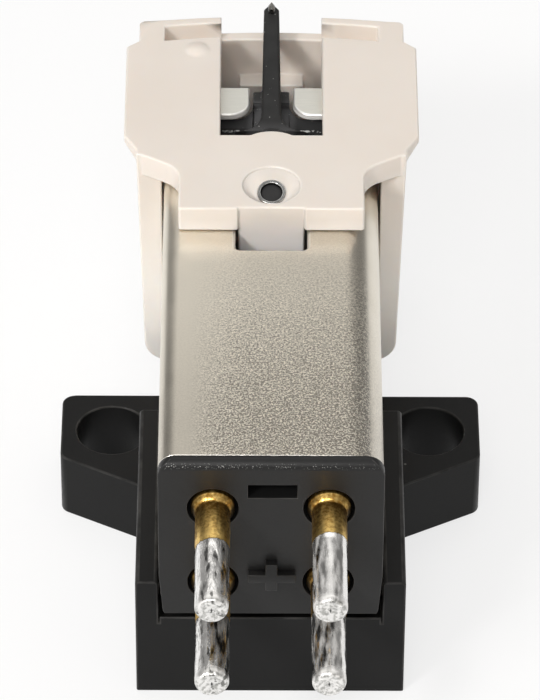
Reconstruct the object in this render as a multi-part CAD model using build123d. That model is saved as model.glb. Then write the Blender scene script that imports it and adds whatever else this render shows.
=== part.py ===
from build123d import *
import math
import os

# A moving-magnet phono cartridge on a half-inch bracket, in millimetres. It lies on its mounting face,
# with the stylus up. The origin is midway between the two mounting holes, on that face. +X is right
# seen from the pins, +Y points to the stylus, and +Z points away from the headshell.

# Mounting bracket
HOLE_SPACING = 12.7
HOLE_RADIUS = 1.41
EAR_RIM = 0.635
EAR_THICKNESS = 2.93
EAR_FRONT_Y = 2.12
EAR_SLANT_OUTER_Y = -1.6
EAR_SLANT_ROOT_Y = -3.3
EAR_CORNER_RADIUS = 0.5
BRACKET_REAR_Y = -11.93
CRADLE_FLOOR_Z = 3.66
CRADLE_WALL = 0.885
CRADLE_WALL_TOP_Z = 5.8
CRADLE_WALL_FRONT_Y = -1.97
CRADLE_EDGE_CHAMFER = 0.1

# Shield can
CAN_WIDTH = 8.53
CAN_HEIGHT = 8.53
CAN_SHEET = 0.32
CAN_CORNER_RADIUS = 0.7
CAN_REAR_Y = -11.8
CAN_FRONT_Y = 7.45
CAN_RELIEF_LENGTH = 0.8
CAN_RELIEF_TOP_Z = 6.95
NOTCH_REAR_Y = 0.21
CAN_SIDE_CLEARANCE = 0.035
CAN_SEAT_CLEARANCE = 0.06

# Terminal plate, which caps the rear end of the can, and its four pins
TERMINAL_CAP_THICKNESS = 0.44
TERMINAL_THICKNESS = 1.4
TERMINAL_FIT = 0.03
TERMINAL_TOP_LAND = 0.03
TERMINAL_BASE_RISE = 0.52
TERMINAL_BASE_INSET = 0.17
TERMINAL_BASE_RADIUS = 0.5
TERMINAL_TAPER_HEIGHT = 2.2
PIN_SPACING_X = 4.39
PIN_SPACING_Z = 3.79
PIN_CENTRE_RISE = 0.055
PIN_RADIUS = 0.65
PIN_LENGTH = 5.65
PIN_END_BEVEL = 0.26
PIN_DISH_DEPTH = 0.07
PIN_COLLAR_RADIUS = 0.82
PIN_COLLAR_THICKNESS = 0.27
PIN_STEM_RADIUS = 0.45
PIN_TAIL_LENGTH = 0.55
PIN_HOLE_CLEARANCE = 0.02
COUNTERBORE_RADIUS = 0.975
COUNTERBORE_DEPTH = 0.45

# Suspension: where the cantilever pivots below the can's top, and how far it leans up from there
PIVOT_Y = 7.2
PIVOT_DROP = 0.84
CANTILEVER_ANGLE = 19.0

# Generator: two forked cores, each with a coil on both legs, in a V below the pivot
FORK_ANGLE = 45.0
COIL_WALL_GAP = 0.095
LEG_HALF_SPACING = 1.1
LEG_THICKNESS = 0.55
LEG_HEIGHT = 0.8
LEG_FRONT_Y = 10.1
YOKE_LENGTH = 0.75
POST_WIDTH = 0.5
POST_LENGTH = 0.8
COIL_RADIUS = 0.82
COIL_LENGTH = 6.6
COIL_REAR_GAP = 0.15
BOBBIN_FLANGE_RADIUS = 0.88
BOBBIN_FLANGE = 0.3
BOBBIN_BARREL_RADIUS = 0.6
BOBBIN_BORE_CLEARANCE = 0.02
COIL_FIT = 0.01

# Stylus holder
TOP_PLATE_THICKNESS = 1.05
TOP_PLATE_CLEARANCE = 0.03
TONGUE_INSET = 0.615
TONGUE_REAR_Y = 1.4
TONGUE_LIP_DRAFT = 0.1
TONGUE_CORNER_RADIUS = 0.12
SHOULDER_Y = 4.75
SHOULDER_ROOT_Y = 3.88
SHOULDER_FLAT = 0.2
SHOULDER_FILLET = 1.05
HOLDER_SIDE_WALL = 1.02
HOLDER_DRAFT = 0.27
HOLDER_BASE_GAP = 0.17
HOLDER_BASE_RADIUS = 1.0
HOLDER_CAVITY_CLEARANCE = 0.085
GRIP_STAND = 0.5
GRIP_ROOT_Y = 5.1
GRIP_REAR_Y = 5.95
GRIP_FRONT_Y = 11.7
GRIP_FRONT_TAPER = 0.4
GRIP_HEIGHT = 0.35
GRIP_UNDERCUT = 0.3
NOSE_Y = 13.77
NOSE_CORNER_Y = 13.33
NOSE_EDGE_FILLET = 0.25
NOSE_WALL = 0.5
BASE_WALL = 1.05
SLOT_WIDTH = 4.08
SLOT_REAR_Y = 6.03
SLOT_BUMP_WIDTH = 1.7
SLOT_BUMP_RISE = 0.25
NOSE_DIP = 0.83
POCKET_END_INSET = 1.04
POCKET_WIDTH = 0.92
POCKET_LIP = 0.42
POCKET_DEPTH = 0.8
CORNER_BLOCK_DEPTH = 2.0
CORNER_BLOCK_LENGTH = 1.5
DOT_X = -3.01
DOT_Y = 11.5
DOT_RADIUS = 0.58
DOT_RISE = 0.16
STOP_WIDTH = 2.6
STOP_DEPTH = 0.75
STOP_DROP = 2.63
STOP_HEIGHT = 3.2
KEY_WIDTH = 2.6
KEY_SETBACK = 0.08
KEY_FRONT_Y = 6.35
KEY_HEIGHT = 3.35
KEY_CLEARANCE = 0.11
WELL_Y = 2.88
WELL_RADIUS = 1.12
WELL_DEPTH = 0.42

# Clamp sleeve, tension tube, tie wire and damper
SLEEVE_RADIUS = 0.565
SLEEVE_BORE_RADIUS = 0.42
SLEEVE_Y = 2.66
SLEEVE_RISE = 0.24
SLEEVE_FIT = 0.02
TUBE_RADIUS = 0.4
TUBE_WALL = 0.12
TUBE_LENGTH = 4.9
TUBE_FIT = 0.02
WIRE_RADIUS = 0.07
WIRE_FIT = 0.02
WIRE_REAR_STUB = 0.2
DAMPER_RADIUS = 0.75
DAMPER_LENGTH = 0.62
DAMPER_GAP = 0.03
DAMPER_ROOM = 0.1

# Cantilever moulding, magnets and stylus
HUB_RADIUS = 0.55
HUB_LENGTH = 1.1
ARM_SPAN = 5.2
ARM_REAR = 1.1
ARM_FRONT = 1.96
ARM_DROP = 0.5
ARM_HEIGHT = 0.55
ROOT_WIDTH = 1.46
ROOT_REAR = 2.48
ROOT_FRONT = 3.02
ROOT_DROP = 0.1
ROOT_STEP = 0.16
ROOT_FILLET = 0.7
FLARE_WIDTH = 2.2
FLARE_LENGTH = 0.15
FLARE_RISE = 0.15
FLARE_RADIUS = 0.65
ROD_ROOT_WIDTH = 0.84
ROD_END_WIDTH = 0.62
ROD_ROOT_HEIGHT = 0.8
ROD_END_HEIGHT = 0.52
ROD_END = 6.95
ROD_POINT = 0.17
KEEL_WIDTH = 0.9
KEEL_STEP = 0.2
MAGNET_RADIUS = 0.4
MAGNET_LENGTH = 2.7
MAGNET_FIT = 0.01
SHANK_RADIUS = 0.14
SHANK_HEIGHT = 0.36
SHANK_INSET = 0.3
TIP_HEIGHT = 0.29
TIP_END_RADIUS = 0.02

# Guide plates beside the cantilever
GUIDE_SHEET = 0.3
GUIDE_CLEARANCE = 0.14
GUIDE_REAR_Y = 8.6
GUIDE_FRONT_Y = 10.4
GUIDE_LEG_DROP = 3.2
GUIDE_CORNER_RADIUS = 0.8

# Places that follow from the sizes above
EAR_SPAN = HOLE_SPACING + 2 * (HOLE_RADIUS + EAR_RIM)
CAN_BASE_Z = CRADLE_FLOOR_Z + CAN_SEAT_CLEARANCE
CAN_TOP_Z = CAN_BASE_Z + CAN_HEIGHT
CAN_MIDDLE_Z = CAN_BASE_Z + CAN_HEIGHT / 2
PIN_CENTRE_Z = CAN_MIDDLE_Z + PIN_CENTRE_RISE
CRADLE_INNER_WIDTH = CAN_WIDTH + 2 * CAN_SIDE_CLEARANCE
CRADLE_WIDTH = CRADLE_INNER_WIDTH + 2 * CRADLE_WALL
TERMINAL_FACE_Y = CAN_REAR_Y - TERMINAL_CAP_THICKNESS
TERMINAL_BACK_Y = TERMINAL_FACE_Y + TERMINAL_THICKNESS
YOKE_REAR_Y = TERMINAL_BACK_Y + POST_LENGTH
COIL_REAR_Y = YOKE_REAR_Y + YOKE_LENGTH + COIL_REAR_GAP
PIVOT_Z = CAN_TOP_Z - PIVOT_DROP
UNDER_PLATE_Z = CAN_TOP_Z + TOP_PLATE_CLEARANCE
OVER_PLATE_Z = UNDER_PLATE_Z + TOP_PLATE_THICKNESS
CAVITY_WIDTH = CAN_WIDTH + 2 * HOLDER_CAVITY_CLEARANCE
CAVITY_BASE_Z = CAN_BASE_Z - HOLDER_BASE_GAP
HOLDER_BASE_Z = CAVITY_BASE_Z - BASE_WALL
HOLDER_WIDTH = CAVITY_WIDTH + 2 * HOLDER_SIDE_WALL
HOLDER_BASE_WIDTH = HOLDER_WIDTH - 2 * HOLDER_DRAFT
GRIP_WIDTH = HOLDER_WIDTH + 2 * GRIP_STAND
TONGUE_WIDTH = CAN_WIDTH - 2 * TONGUE_INSET
POCKET_END_X = HOLDER_WIDTH / 2 - POCKET_END_INSET
STOP_TOP_Z = OVER_PLATE_Z - STOP_DROP
KEY_BASE_Z = CAN_TOP_Z - KEY_HEIGHT
KEY_REAR_Y = TONGUE_REAR_Y + KEY_SETBACK
GUIDE_INNER_X = ROOT_WIDTH / 2 + GUIDE_CLEARANCE
NOSE_HALF_CHORD = HOLDER_WIDTH / 2
NOSE_RADIUS = (NOSE_HALF_CHORD**2 + (NOSE_Y - NOSE_CORNER_Y) ** 2) / (2 * (NOSE_Y - NOSE_CORNER_Y))
NOSE_CENTRE_Y = NOSE_Y - NOSE_RADIUS
ANGLE = math.radians(CANTILEVER_ANGLE)
SUSPENSION = Pos(0, PIVOT_Y, PIVOT_Z) * Rot(CANTILEVER_ANGLE, 0, 0)
ARM_MIDDLE = (ARM_REAR + ARM_FRONT) / 2
ARM_UNDERSIDE = -ARM_DROP - ARM_HEIGHT
KEEL_CENTRE = ARM_UNDERSIDE - KEEL_STEP
COIL_REACH = CAN_WIDTH / 2 - CAN_SHEET - COIL_WALL_GAP - BOBBIN_FLANGE_RADIUS
FORK_DEPTH = COIL_REACH / math.sin(math.radians(FORK_ANGLE)) - LEG_HALF_SPACING
FORK_SHIFT = FORK_DEPTH * math.cos(math.radians(FORK_ANGLE)) * (1 - math.cos(ANGLE))
FORK_APEX_Z = PIVOT_Z + ARM_MIDDLE * math.sin(ANGLE) + KEEL_CENTRE * math.cos(ANGLE) + FORK_SHIFT

# Working lengths: past the whole part, past a face that is cut, into a face that is joined
PART_SPAN = 60.0
OVERCUT = 1.0
BITE = 0.1
NEAR = 1e-4


def block(x0, x1, y0, y1, z0, z1):
    """Box between two corners."""
    centre = Pos((x0 + x1) / 2, (y0 + y1) / 2, (z0 + z1) / 2)
    return centre * Box(x1 - x0, y1 - y0, z1 - z0)


def upright(outline, z0, z1):
    """Prism of a plan outline between two heights."""
    return extrude(Plane.XY.offset(z0) * outline, amount=z1 - z0)


def lengthwise(profile, y0, y1):
    """Prism of an X-Z profile between two places along Y."""
    return extrude(Plane.XZ.offset(-y1) * profile, amount=y1 - y0)


def crosswise(profile, x0, x1):
    """Prism of a Y-Z profile between two places along X."""
    return extrude(Plane.YZ.offset(x0) * profile, amount=x1 - x0)


def outline(points):
    """Closed face through points."""
    return make_face(Polyline(*points, close=True))


def mirrored(points):
    """Closed outline from its right half, listed from the centre line round to the centre line."""
    return outline(points + [(-x, y) for x, y in reversed(points) if x > 0])


def corners_at(face, x, y):
    """The two corners of a symmetric outline at plus and minus x."""
    return [v for v in face.vertices() if abs(abs(v.X) - x) < NEAR and abs(v.Y - y) < NEAR]


def mounting_bracket():
    half_ear = EAR_SPAN / 2
    half_cradle = CRADLE_WIDTH / 2
    plan = mirrored(
        [
            (0, BRACKET_REAR_Y),
            (half_cradle, BRACKET_REAR_Y),
            (half_cradle, EAR_SLANT_ROOT_Y),
            (half_ear, EAR_SLANT_OUTER_Y),
            (half_ear, EAR_FRONT_Y),
            (0, EAR_FRONT_Y),
        ]
    )
    tips = corners_at(plan, half_ear, EAR_FRONT_Y) + corners_at(plan, half_ear, EAR_SLANT_OUTER_Y)
    plan = fillet(tips, EAR_CORNER_RADIUS)
    ears = upright(plan, 0, EAR_THICKNESS)
    cradle = block(-half_cradle, half_cradle, BRACKET_REAR_Y, CRADLE_WALL_FRONT_Y, 0, CRADLE_WALL_TOP_Z)
    half_inner = CRADLE_INNER_WIDTH / 2
    floor = block(-half_inner, half_inner, BRACKET_REAR_Y, EAR_FRONT_Y, 0, CRADLE_FLOOR_Z)
    channel = block(-half_inner, half_inner, -PART_SPAN, PART_SPAN, CRADLE_FLOOR_Z, PART_SPAN)
    solid = ears + cradle + floor - channel
    along = solid.edges().filter_by(Axis.Y)
    rims = along.filter_by(lambda edge: abs(edge.center().Z - CRADLE_WALL_TOP_Z) < NEAR)
    solid = chamfer(rims, CRADLE_EDGE_CHAMFER)
    holes = [Pos(side * HOLE_SPACING / 2, 0, 0) * Cylinder(HOLE_RADIUS, PART_SPAN) for side in (-1, 1)]
    return solid - holes


def shield_can():
    outer = Pos(0, CAN_MIDDLE_Z) * RectangleRounded(CAN_WIDTH, CAN_HEIGHT, CAN_CORNER_RADIUS)
    inner_width = CAN_WIDTH - 2 * CAN_SHEET
    inner_height = CAN_HEIGHT - 2 * CAN_SHEET
    inner = Pos(0, CAN_MIDDLE_Z) * RectangleRounded(inner_width, inner_height, CAN_CORNER_RADIUS - CAN_SHEET)
    tube = lengthwise(outer - inner, CAN_REAR_Y, CAN_FRONT_Y)
    half_notch = KEY_WIDTH / 2 + KEY_CLEARANCE
    tube -= block(-half_notch, half_notch, NOTCH_REAR_Y, PART_SPAN, CAN_MIDDLE_Z, PART_SPAN)
    relief_end = CAN_REAR_Y + CAN_RELIEF_LENGTH
    return tube - block(-PART_SPAN, PART_SPAN, -PART_SPAN, relief_end, 0, CAN_RELIEF_TOP_Z)


def fork_places():
    """Left and right: the frame of each forked core, whose own -Z points down one arm of the V."""
    apex = Pos(0, 0, FORK_APEX_Z)
    return {"left": apex * Rot(0, FORK_ANGLE, 0), "right": apex * Rot(0, -FORK_ANGLE, 0)}


def pin_places():
    """The four pins by channel and polarity: the signal pins are the lower pair here."""
    rows = {"return": PIN_CENTRE_Z + PIN_SPACING_Z / 2, "signal": PIN_CENTRE_Z - PIN_SPACING_Z / 2}
    columns = {"left": -PIN_SPACING_X / 2, "right": PIN_SPACING_X / 2}
    return {f"pin_{side}_{row}": (x, z) for side, x in columns.items() for row, z in rows.items()}


def terminal_cap():
    """Cap over the can's end: its top edge is rounded over and its sides draw in towards the base."""
    half = CAN_WIDTH / 2
    half_base = half - TERMINAL_BASE_INSET
    base = CAN_BASE_Z + TERMINAL_BASE_RISE
    shoulder = base + TERMINAL_TAPER_HEIGHT
    face = mirrored([(0, base), (half_base, base), (half, shoulder), (half, CAN_TOP_Z), (0, CAN_TOP_Z)])
    face = fillet(corners_at(face, half, CAN_TOP_Z), CAN_CORNER_RADIUS)
    face = fillet(corners_at(face, half_base, base), TERMINAL_BASE_RADIUS)
    rear, front = TERMINAL_FACE_Y, CAN_REAR_Y
    side = outline([(rear, base), (front, base), (front, CAN_TOP_Z), (rear, CAN_TOP_Z)])
    top_round = TERMINAL_CAP_THICKNESS - TERMINAL_TOP_LAND
    side = fillet(corners_at(side, -rear, CAN_TOP_Z), top_round)
    return lengthwise(face, rear, front) & crosswise(side, -half, half)


def terminal_plate():
    """Cap and plug in one, with a counterbored hole for each pin and a post behind for each core."""
    width = CAN_WIDTH - 2 * CAN_SHEET - 2 * TERMINAL_FIT
    height = CAN_HEIGHT - 2 * CAN_SHEET - 2 * TERMINAL_FIT
    section = Pos(0, CAN_MIDDLE_Z) * RectangleRounded(width, height, CAN_CORNER_RADIUS - CAN_SHEET)
    plate = terminal_cap() + lengthwise(section, CAN_REAR_Y, TERMINAL_BACK_Y)
    for x, z in pin_places().values():
        hole = Pos(x, z) * Circle(PIN_STEM_RADIUS + PIN_HOLE_CLEARANCE)
        counterbore = Pos(x, z) * Circle(COUNTERBORE_RADIUS)
        plate -= lengthwise(hole, -PART_SPAN, PART_SPAN)
        plate -= lengthwise(counterbore, -PART_SPAN, TERMINAL_FACE_Y + COUNTERBORE_DEPTH)
    for place in fork_places().values():
        half = POST_WIDTH / 2
        plate += place * block(
            -half, half, TERMINAL_BACK_Y, YOKE_REAR_Y, -FORK_DEPTH - half, -FORK_DEPTH + half
        )
    return plate


def terminal_pin(x, z):
    """Turned pin: solder tail, stem through the plate, collar in the counterbore, dished prong."""
    collar_seat = -COUNTERBORE_DEPTH
    tail_end = -TERMINAL_THICKNESS - PIN_TAIL_LENGTH
    profile = outline(
        [
            (0, tail_end),
            (PIN_STEM_RADIUS, tail_end),
            (PIN_STEM_RADIUS, collar_seat),
            (PIN_COLLAR_RADIUS, collar_seat),
            (PIN_COLLAR_RADIUS, collar_seat + PIN_COLLAR_THICKNESS),
            (PIN_RADIUS, collar_seat + PIN_COLLAR_THICKNESS),
            (PIN_RADIUS, PIN_LENGTH - PIN_END_BEVEL),
            (PIN_RADIUS - PIN_END_BEVEL, PIN_LENGTH),
            (0, PIN_LENGTH - PIN_DISH_DEPTH),
        ]
    )
    pin = revolve(Plane.XZ * profile, Axis.Z)
    return Pos(x, TERMINAL_FACE_Y, z) * Rot(90, 0, 0) * pin


def pole_core(place):
    """Forked core: two legs that flank a magnet, joined by a yoke at the rear."""
    outer = LEG_HALF_SPACING + LEG_THICKNESS / 2
    inner = LEG_HALF_SPACING - LEG_THICKNESS / 2
    low = -FORK_DEPTH - LEG_HEIGHT / 2
    high = -FORK_DEPTH + LEG_HEIGHT / 2
    fork = block(-outer, outer, YOKE_REAR_Y, LEG_FRONT_Y, low, high)
    return place * (fork - block(-inner, inner, YOKE_REAR_Y + YOKE_LENGTH, PART_SPAN, low, high))


def coil_bobbin(place, side):
    centre = Pos(side * LEG_HALF_SPACING, -FORK_DEPTH)
    barrel = lengthwise(centre * Circle(BOBBIN_BARREL_RADIUS), COIL_REAR_Y, COIL_REAR_Y + COIL_LENGTH)
    flange = centre * Circle(BOBBIN_FLANGE_RADIUS)
    for start in (COIL_REAR_Y, COIL_REAR_Y + COIL_LENGTH - BOBBIN_FLANGE):
        barrel += lengthwise(flange, start, start + BOBBIN_FLANGE)
    width = LEG_THICKNESS + 2 * BOBBIN_BORE_CLEARANCE
    height = LEG_HEIGHT + 2 * BOBBIN_BORE_CLEARANCE
    return place * (barrel - lengthwise(centre * Rectangle(width, height), -PART_SPAN, PART_SPAN))


def coil_winding(place, side):
    centre = Pos(side * LEG_HALF_SPACING, -FORK_DEPTH)
    section = centre * (Circle(COIL_RADIUS) - Circle(BOBBIN_BARREL_RADIUS + COIL_FIT))
    start = COIL_REAR_Y + BOBBIN_FLANGE + COIL_FIT
    end = COIL_REAR_Y + COIL_LENGTH - BOBBIN_FLANGE - COIL_FIT
    return place * lengthwise(section, start, end)


def nose_arc_plan(half_width, rear_y, inset):
    """Plan with straight sides and the holder's bowed front, drawn inset from its outer face."""
    radius = NOSE_RADIUS - inset
    corner_y = NOSE_CENTRE_Y + math.sqrt(radius**2 - half_width**2)
    front = NOSE_CENTRE_Y + radius
    left, right = (-half_width, corner_y), (half_width, corner_y)
    sides = Polyline(right, (half_width, rear_y), (-half_width, rear_y), left)
    return make_face([sides, ThreePointArc(left, (0, front), right)])


def holder_shell():
    """Cup that sleeves over the front of the can: drafted sides, round base corners, bowed nose."""
    half_top = HOLDER_WIDTH / 2
    half_base = HOLDER_BASE_WIDTH / 2
    section = mirrored(
        [(0, HOLDER_BASE_Z), (half_base, HOLDER_BASE_Z), (half_top, OVER_PLATE_Z), (0, OVER_PLATE_Z)]
    )
    section = fillet(corners_at(section, half_base, HOLDER_BASE_Z), HOLDER_BASE_RADIUS)
    body = lengthwise(section, SHOULDER_Y, PART_SPAN)
    body &= upright(nose_arc_plan(half_top + OVERCUT, SHOULDER_Y - OVERCUT, 0), 0, OVER_PLATE_Z)
    rim = body.edges().filter_by(
        lambda edge: edge.center().Y > NOSE_CORNER_Y - OVERCUT and edge.center().Z < OVER_PLATE_Z - NEAR
    )
    body = fillet(rim, NOSE_EDGE_FILLET)
    cavity = upright(nose_arc_plan(CAVITY_WIDTH / 2, -OVERCUT, NOSE_WALL), CAVITY_BASE_Z, UNDER_PLATE_Z)
    return body - cavity


def tongue_plate():
    """Rear tongue of the top plate: it lies over the can, with a drafted lip and slanted shoulders."""
    half = TONGUE_WIDTH / 2
    shoulder = HOLDER_WIDTH / 2 - SHOULDER_FLAT
    overlap = SHOULDER_Y + NOSE_WALL
    foot = TONGUE_REAR_Y - TONGUE_LIP_DRAFT
    plan = mirrored(
        [
            (0, foot),
            (half, foot),
            (half, SHOULDER_ROOT_Y),
            (shoulder, SHOULDER_Y),
            (shoulder, overlap),
            (0, overlap),
        ]
    )
    plan = fillet(corners_at(plan, half, SHOULDER_ROOT_Y), SHOULDER_FILLET)
    plate = upright(plan, UNDER_PLATE_Z, OVER_PLATE_Z)
    draft = outline([(foot, UNDER_PLATE_Z), (TONGUE_REAR_Y, OVER_PLATE_Z), (foot, OVER_PLATE_Z)])
    plate -= crosswise(draft, -PART_SPAN, PART_SPAN)
    corners = plate.edges().filter_by(
        lambda edge: foot < edge.center().Y < TONGUE_REAR_Y and abs(edge.center().X) > half - NEAR
    )
    return fillet(corners, TONGUE_CORNER_RADIUS)


def grip_flanges():
    """Finger flanges along both sides: square above, sloping back to the wall below."""
    half = GRIP_WIDTH / 2
    inner = HOLDER_WIDTH / 2 - BITE
    reach = (GRIP_STAND + BITE) / GRIP_STAND
    rear = GRIP_REAR_Y - (GRIP_REAR_Y - GRIP_ROOT_Y) * reach
    front = GRIP_FRONT_Y + GRIP_FRONT_TAPER * reach
    low = OVER_PLATE_Z - GRIP_HEIGHT
    foot = low - GRIP_UNDERCUT * reach
    profile = outline([(inner, foot), (half, low), (half, OVER_PLATE_Z), (inner, OVER_PLATE_Z)])
    plan = outline([(inner, rear), (half, GRIP_REAR_Y), (half, GRIP_FRONT_Y), (inner, front)])
    right = lengthwise(profile, rear, front) & upright(plan, 0, OVER_PLATE_Z)
    return right + mirror(right, Plane.YZ)


def slot_cut():
    """Opening for the cantilever, through the plate and over the lowered middle of the nose wall."""
    half = SLOT_WIDTH / 2
    bump = SLOT_BUMP_WIDTH / 2
    front = NOSE_Y + OVERCUT
    rear = SLOT_REAR_Y
    edges = [
        Polyline((bump, rear), (half, rear), (half, front), (-half, front), (-half, rear), (-bump, rear)),
        ThreePointArc((-bump, rear), (0, rear + SLOT_BUMP_RISE), (bump, rear)),
    ]
    plan = make_face(edges)
    nose_top = OVER_PLATE_Z - NOSE_DIP
    above = OVER_PLATE_Z + OVERCUT
    over_nose = upright(plan, nose_top, above)
    inside = upright(plan & nose_arc_plan(half, 0, NOSE_WALL), UNDER_PLATE_Z - OVERCUT, above)
    return over_nose + inside


def nose_pockets():
    """Shallow troughs behind the nose on both sides of the slot, curved with the nose."""
    half = POCKET_END_X
    plan = nose_arc_plan(half, 0, POCKET_LIP)
    plan = plan - nose_arc_plan(half + OVERCUT, -OVERCUT, POCKET_LIP + POCKET_WIDTH)
    return upright(plan, OVER_PLATE_Z - POCKET_DEPTH, OVER_PLATE_Z + OVERCUT)


def corner_blocks():
    """Solid corners under the troughs, which stiffen the nose."""
    plan = nose_arc_plan(CAVITY_WIDTH / 2, 0, NOSE_WALL / 2)
    rear = NOSE_CORNER_Y - CORNER_BLOCK_LENGTH
    plan = plan & (Pos(0, rear + PART_SPAN / 2) * Rectangle(PART_SPAN, PART_SPAN))
    plan = plan - Rectangle(SLOT_WIDTH, PART_SPAN)
    return upright(plan, UNDER_PLATE_Z - CORNER_BLOCK_DEPTH, UNDER_PLATE_Z + BITE)


def stop_rib():
    """Rib on the inside of the nose that keeps the cantilever from being pushed in too far."""
    half = STOP_WIDTH / 2
    inner = NOSE_Y - NOSE_WALL
    plan = nose_arc_plan(half, inner - STOP_DEPTH, NOSE_WALL / 2)
    return upright(plan, STOP_TOP_Z - STOP_HEIGHT, STOP_TOP_Z)


def locating_key():
    """Key under the tongue: it drops into the can's notch and carries the suspension."""
    half = KEY_WIDTH / 2
    return block(-half, half, KEY_REAR_Y, KEY_FRONT_Y, KEY_BASE_Z, UNDER_PLATE_Z + BITE)


def key_channel():
    """Shallow channel down the middle of the tongue's lip, in line with the key's rear face."""
    half = KEY_WIDTH / 2
    rear = TONGUE_REAR_Y - OVERCUT
    return block(-half, half, rear, KEY_REAR_Y, UNDER_PLATE_Z - OVERCUT, OVER_PLATE_Z + OVERCUT)


def sleeve_place():
    """Frame of the clamp sleeve: square to the cantilever, its rim a little above the well's floor."""
    rim_z = OVER_PLATE_Z - WELL_DEPTH + SLEEVE_RISE
    return Pos(0, SLEEVE_Y, rim_z) * Rot(CANTILEVER_ANGLE, 0, 0)


def sleeve_length():
    """From the rim down to the top of the tension tube."""
    rim_z = OVER_PLATE_Z - WELL_DEPTH + SLEEVE_RISE
    above_axis = (rim_z - PIVOT_Z) * math.cos(ANGLE) + (PIVOT_Y - SLEEVE_Y) * math.sin(ANGLE)
    return above_axis - TUBE_RADIUS - TUBE_FIT


def tube_ends():
    """Rear and front end of the tension tube along the cantilever's line, from the pivot."""
    front = -DAMPER_LENGTH - 2 * DAMPER_GAP
    return front - TUBE_LENGTH, front


def stylus_holder():
    holder = holder_shell() + tongue_plate() + grip_flanges() + corner_blocks() + stop_rib()
    holder = holder - slot_cut() - nose_pockets()
    holder = holder + locating_key() - key_channel()
    holder -= Pos(0, WELL_Y, OVER_PLATE_Z) * Cylinder(WELL_RADIUS, 2 * WELL_DEPTH)
    rear, front = tube_ends()
    holder -= SUSPENSION * lengthwise(Circle(TUBE_RADIUS + TUBE_FIT), rear - TUBE_FIT, PART_SPAN)
    wire_end = rear - WIRE_REAR_STUB - WIRE_FIT
    holder -= SUSPENSION * lengthwise(Circle(WIRE_RADIUS + WIRE_FIT), wire_end, rear)
    clearance = SUSPENSION * lengthwise(Circle(DAMPER_RADIUS + DAMPER_ROOM), front - DAMPER_GAP, PART_SPAN)
    holder -= clearance & block(-PART_SPAN, PART_SPAN, 0, KEY_FRONT_Y + OVERCUT, 0, UNDER_PLATE_Z)
    bore_top = SLEEVE_RISE + OVERCUT
    bore = Cylinder(SLEEVE_RADIUS + SLEEVE_FIT, sleeve_length() + bore_top)
    holder -= sleeve_place() * Pos(0, 0, (bore_top - sleeve_length()) / 2) * bore
    cap_radius = (DOT_RADIUS**2 + DOT_RISE**2) / (2 * DOT_RISE)
    cap = Pos(DOT_X, DOT_Y, OVER_PLATE_Z + DOT_RISE - cap_radius) * Sphere(cap_radius)
    dot_plan = Pos(DOT_X, DOT_Y) * Circle(DOT_RADIUS)
    holder += cap & upright(dot_plan, OVER_PLATE_Z - BITE, OVER_PLATE_Z + OVERCUT)
    return holder


def clamp_sleeve():
    length = sleeve_length()
    ring = Cylinder(SLEEVE_RADIUS, length) - Cylinder(SLEEVE_BORE_RADIUS, length)
    return sleeve_place() * Pos(0, 0, -length / 2) * ring


def tension_tube():
    rear, front = tube_ends()
    section = Circle(TUBE_RADIUS) - Circle(TUBE_RADIUS - TUBE_WALL)
    return SUSPENSION * lengthwise(section, rear, front)


def tie_wire():
    """Fine steel wire that draws the cantilever against the damper."""
    rear = tube_ends()[0]
    return SUSPENSION * lengthwise(Circle(WIRE_RADIUS), rear - WIRE_REAR_STUB, HUB_LENGTH)


def suspension_damper():
    """Soft ring between the tension tube and the cantilever's hub."""
    section = Circle(DAMPER_RADIUS) - Circle(WIRE_RADIUS + WIRE_FIT)
    return SUSPENSION * lengthwise(section, -DAMPER_GAP - DAMPER_LENGTH, -DAMPER_GAP)


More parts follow.
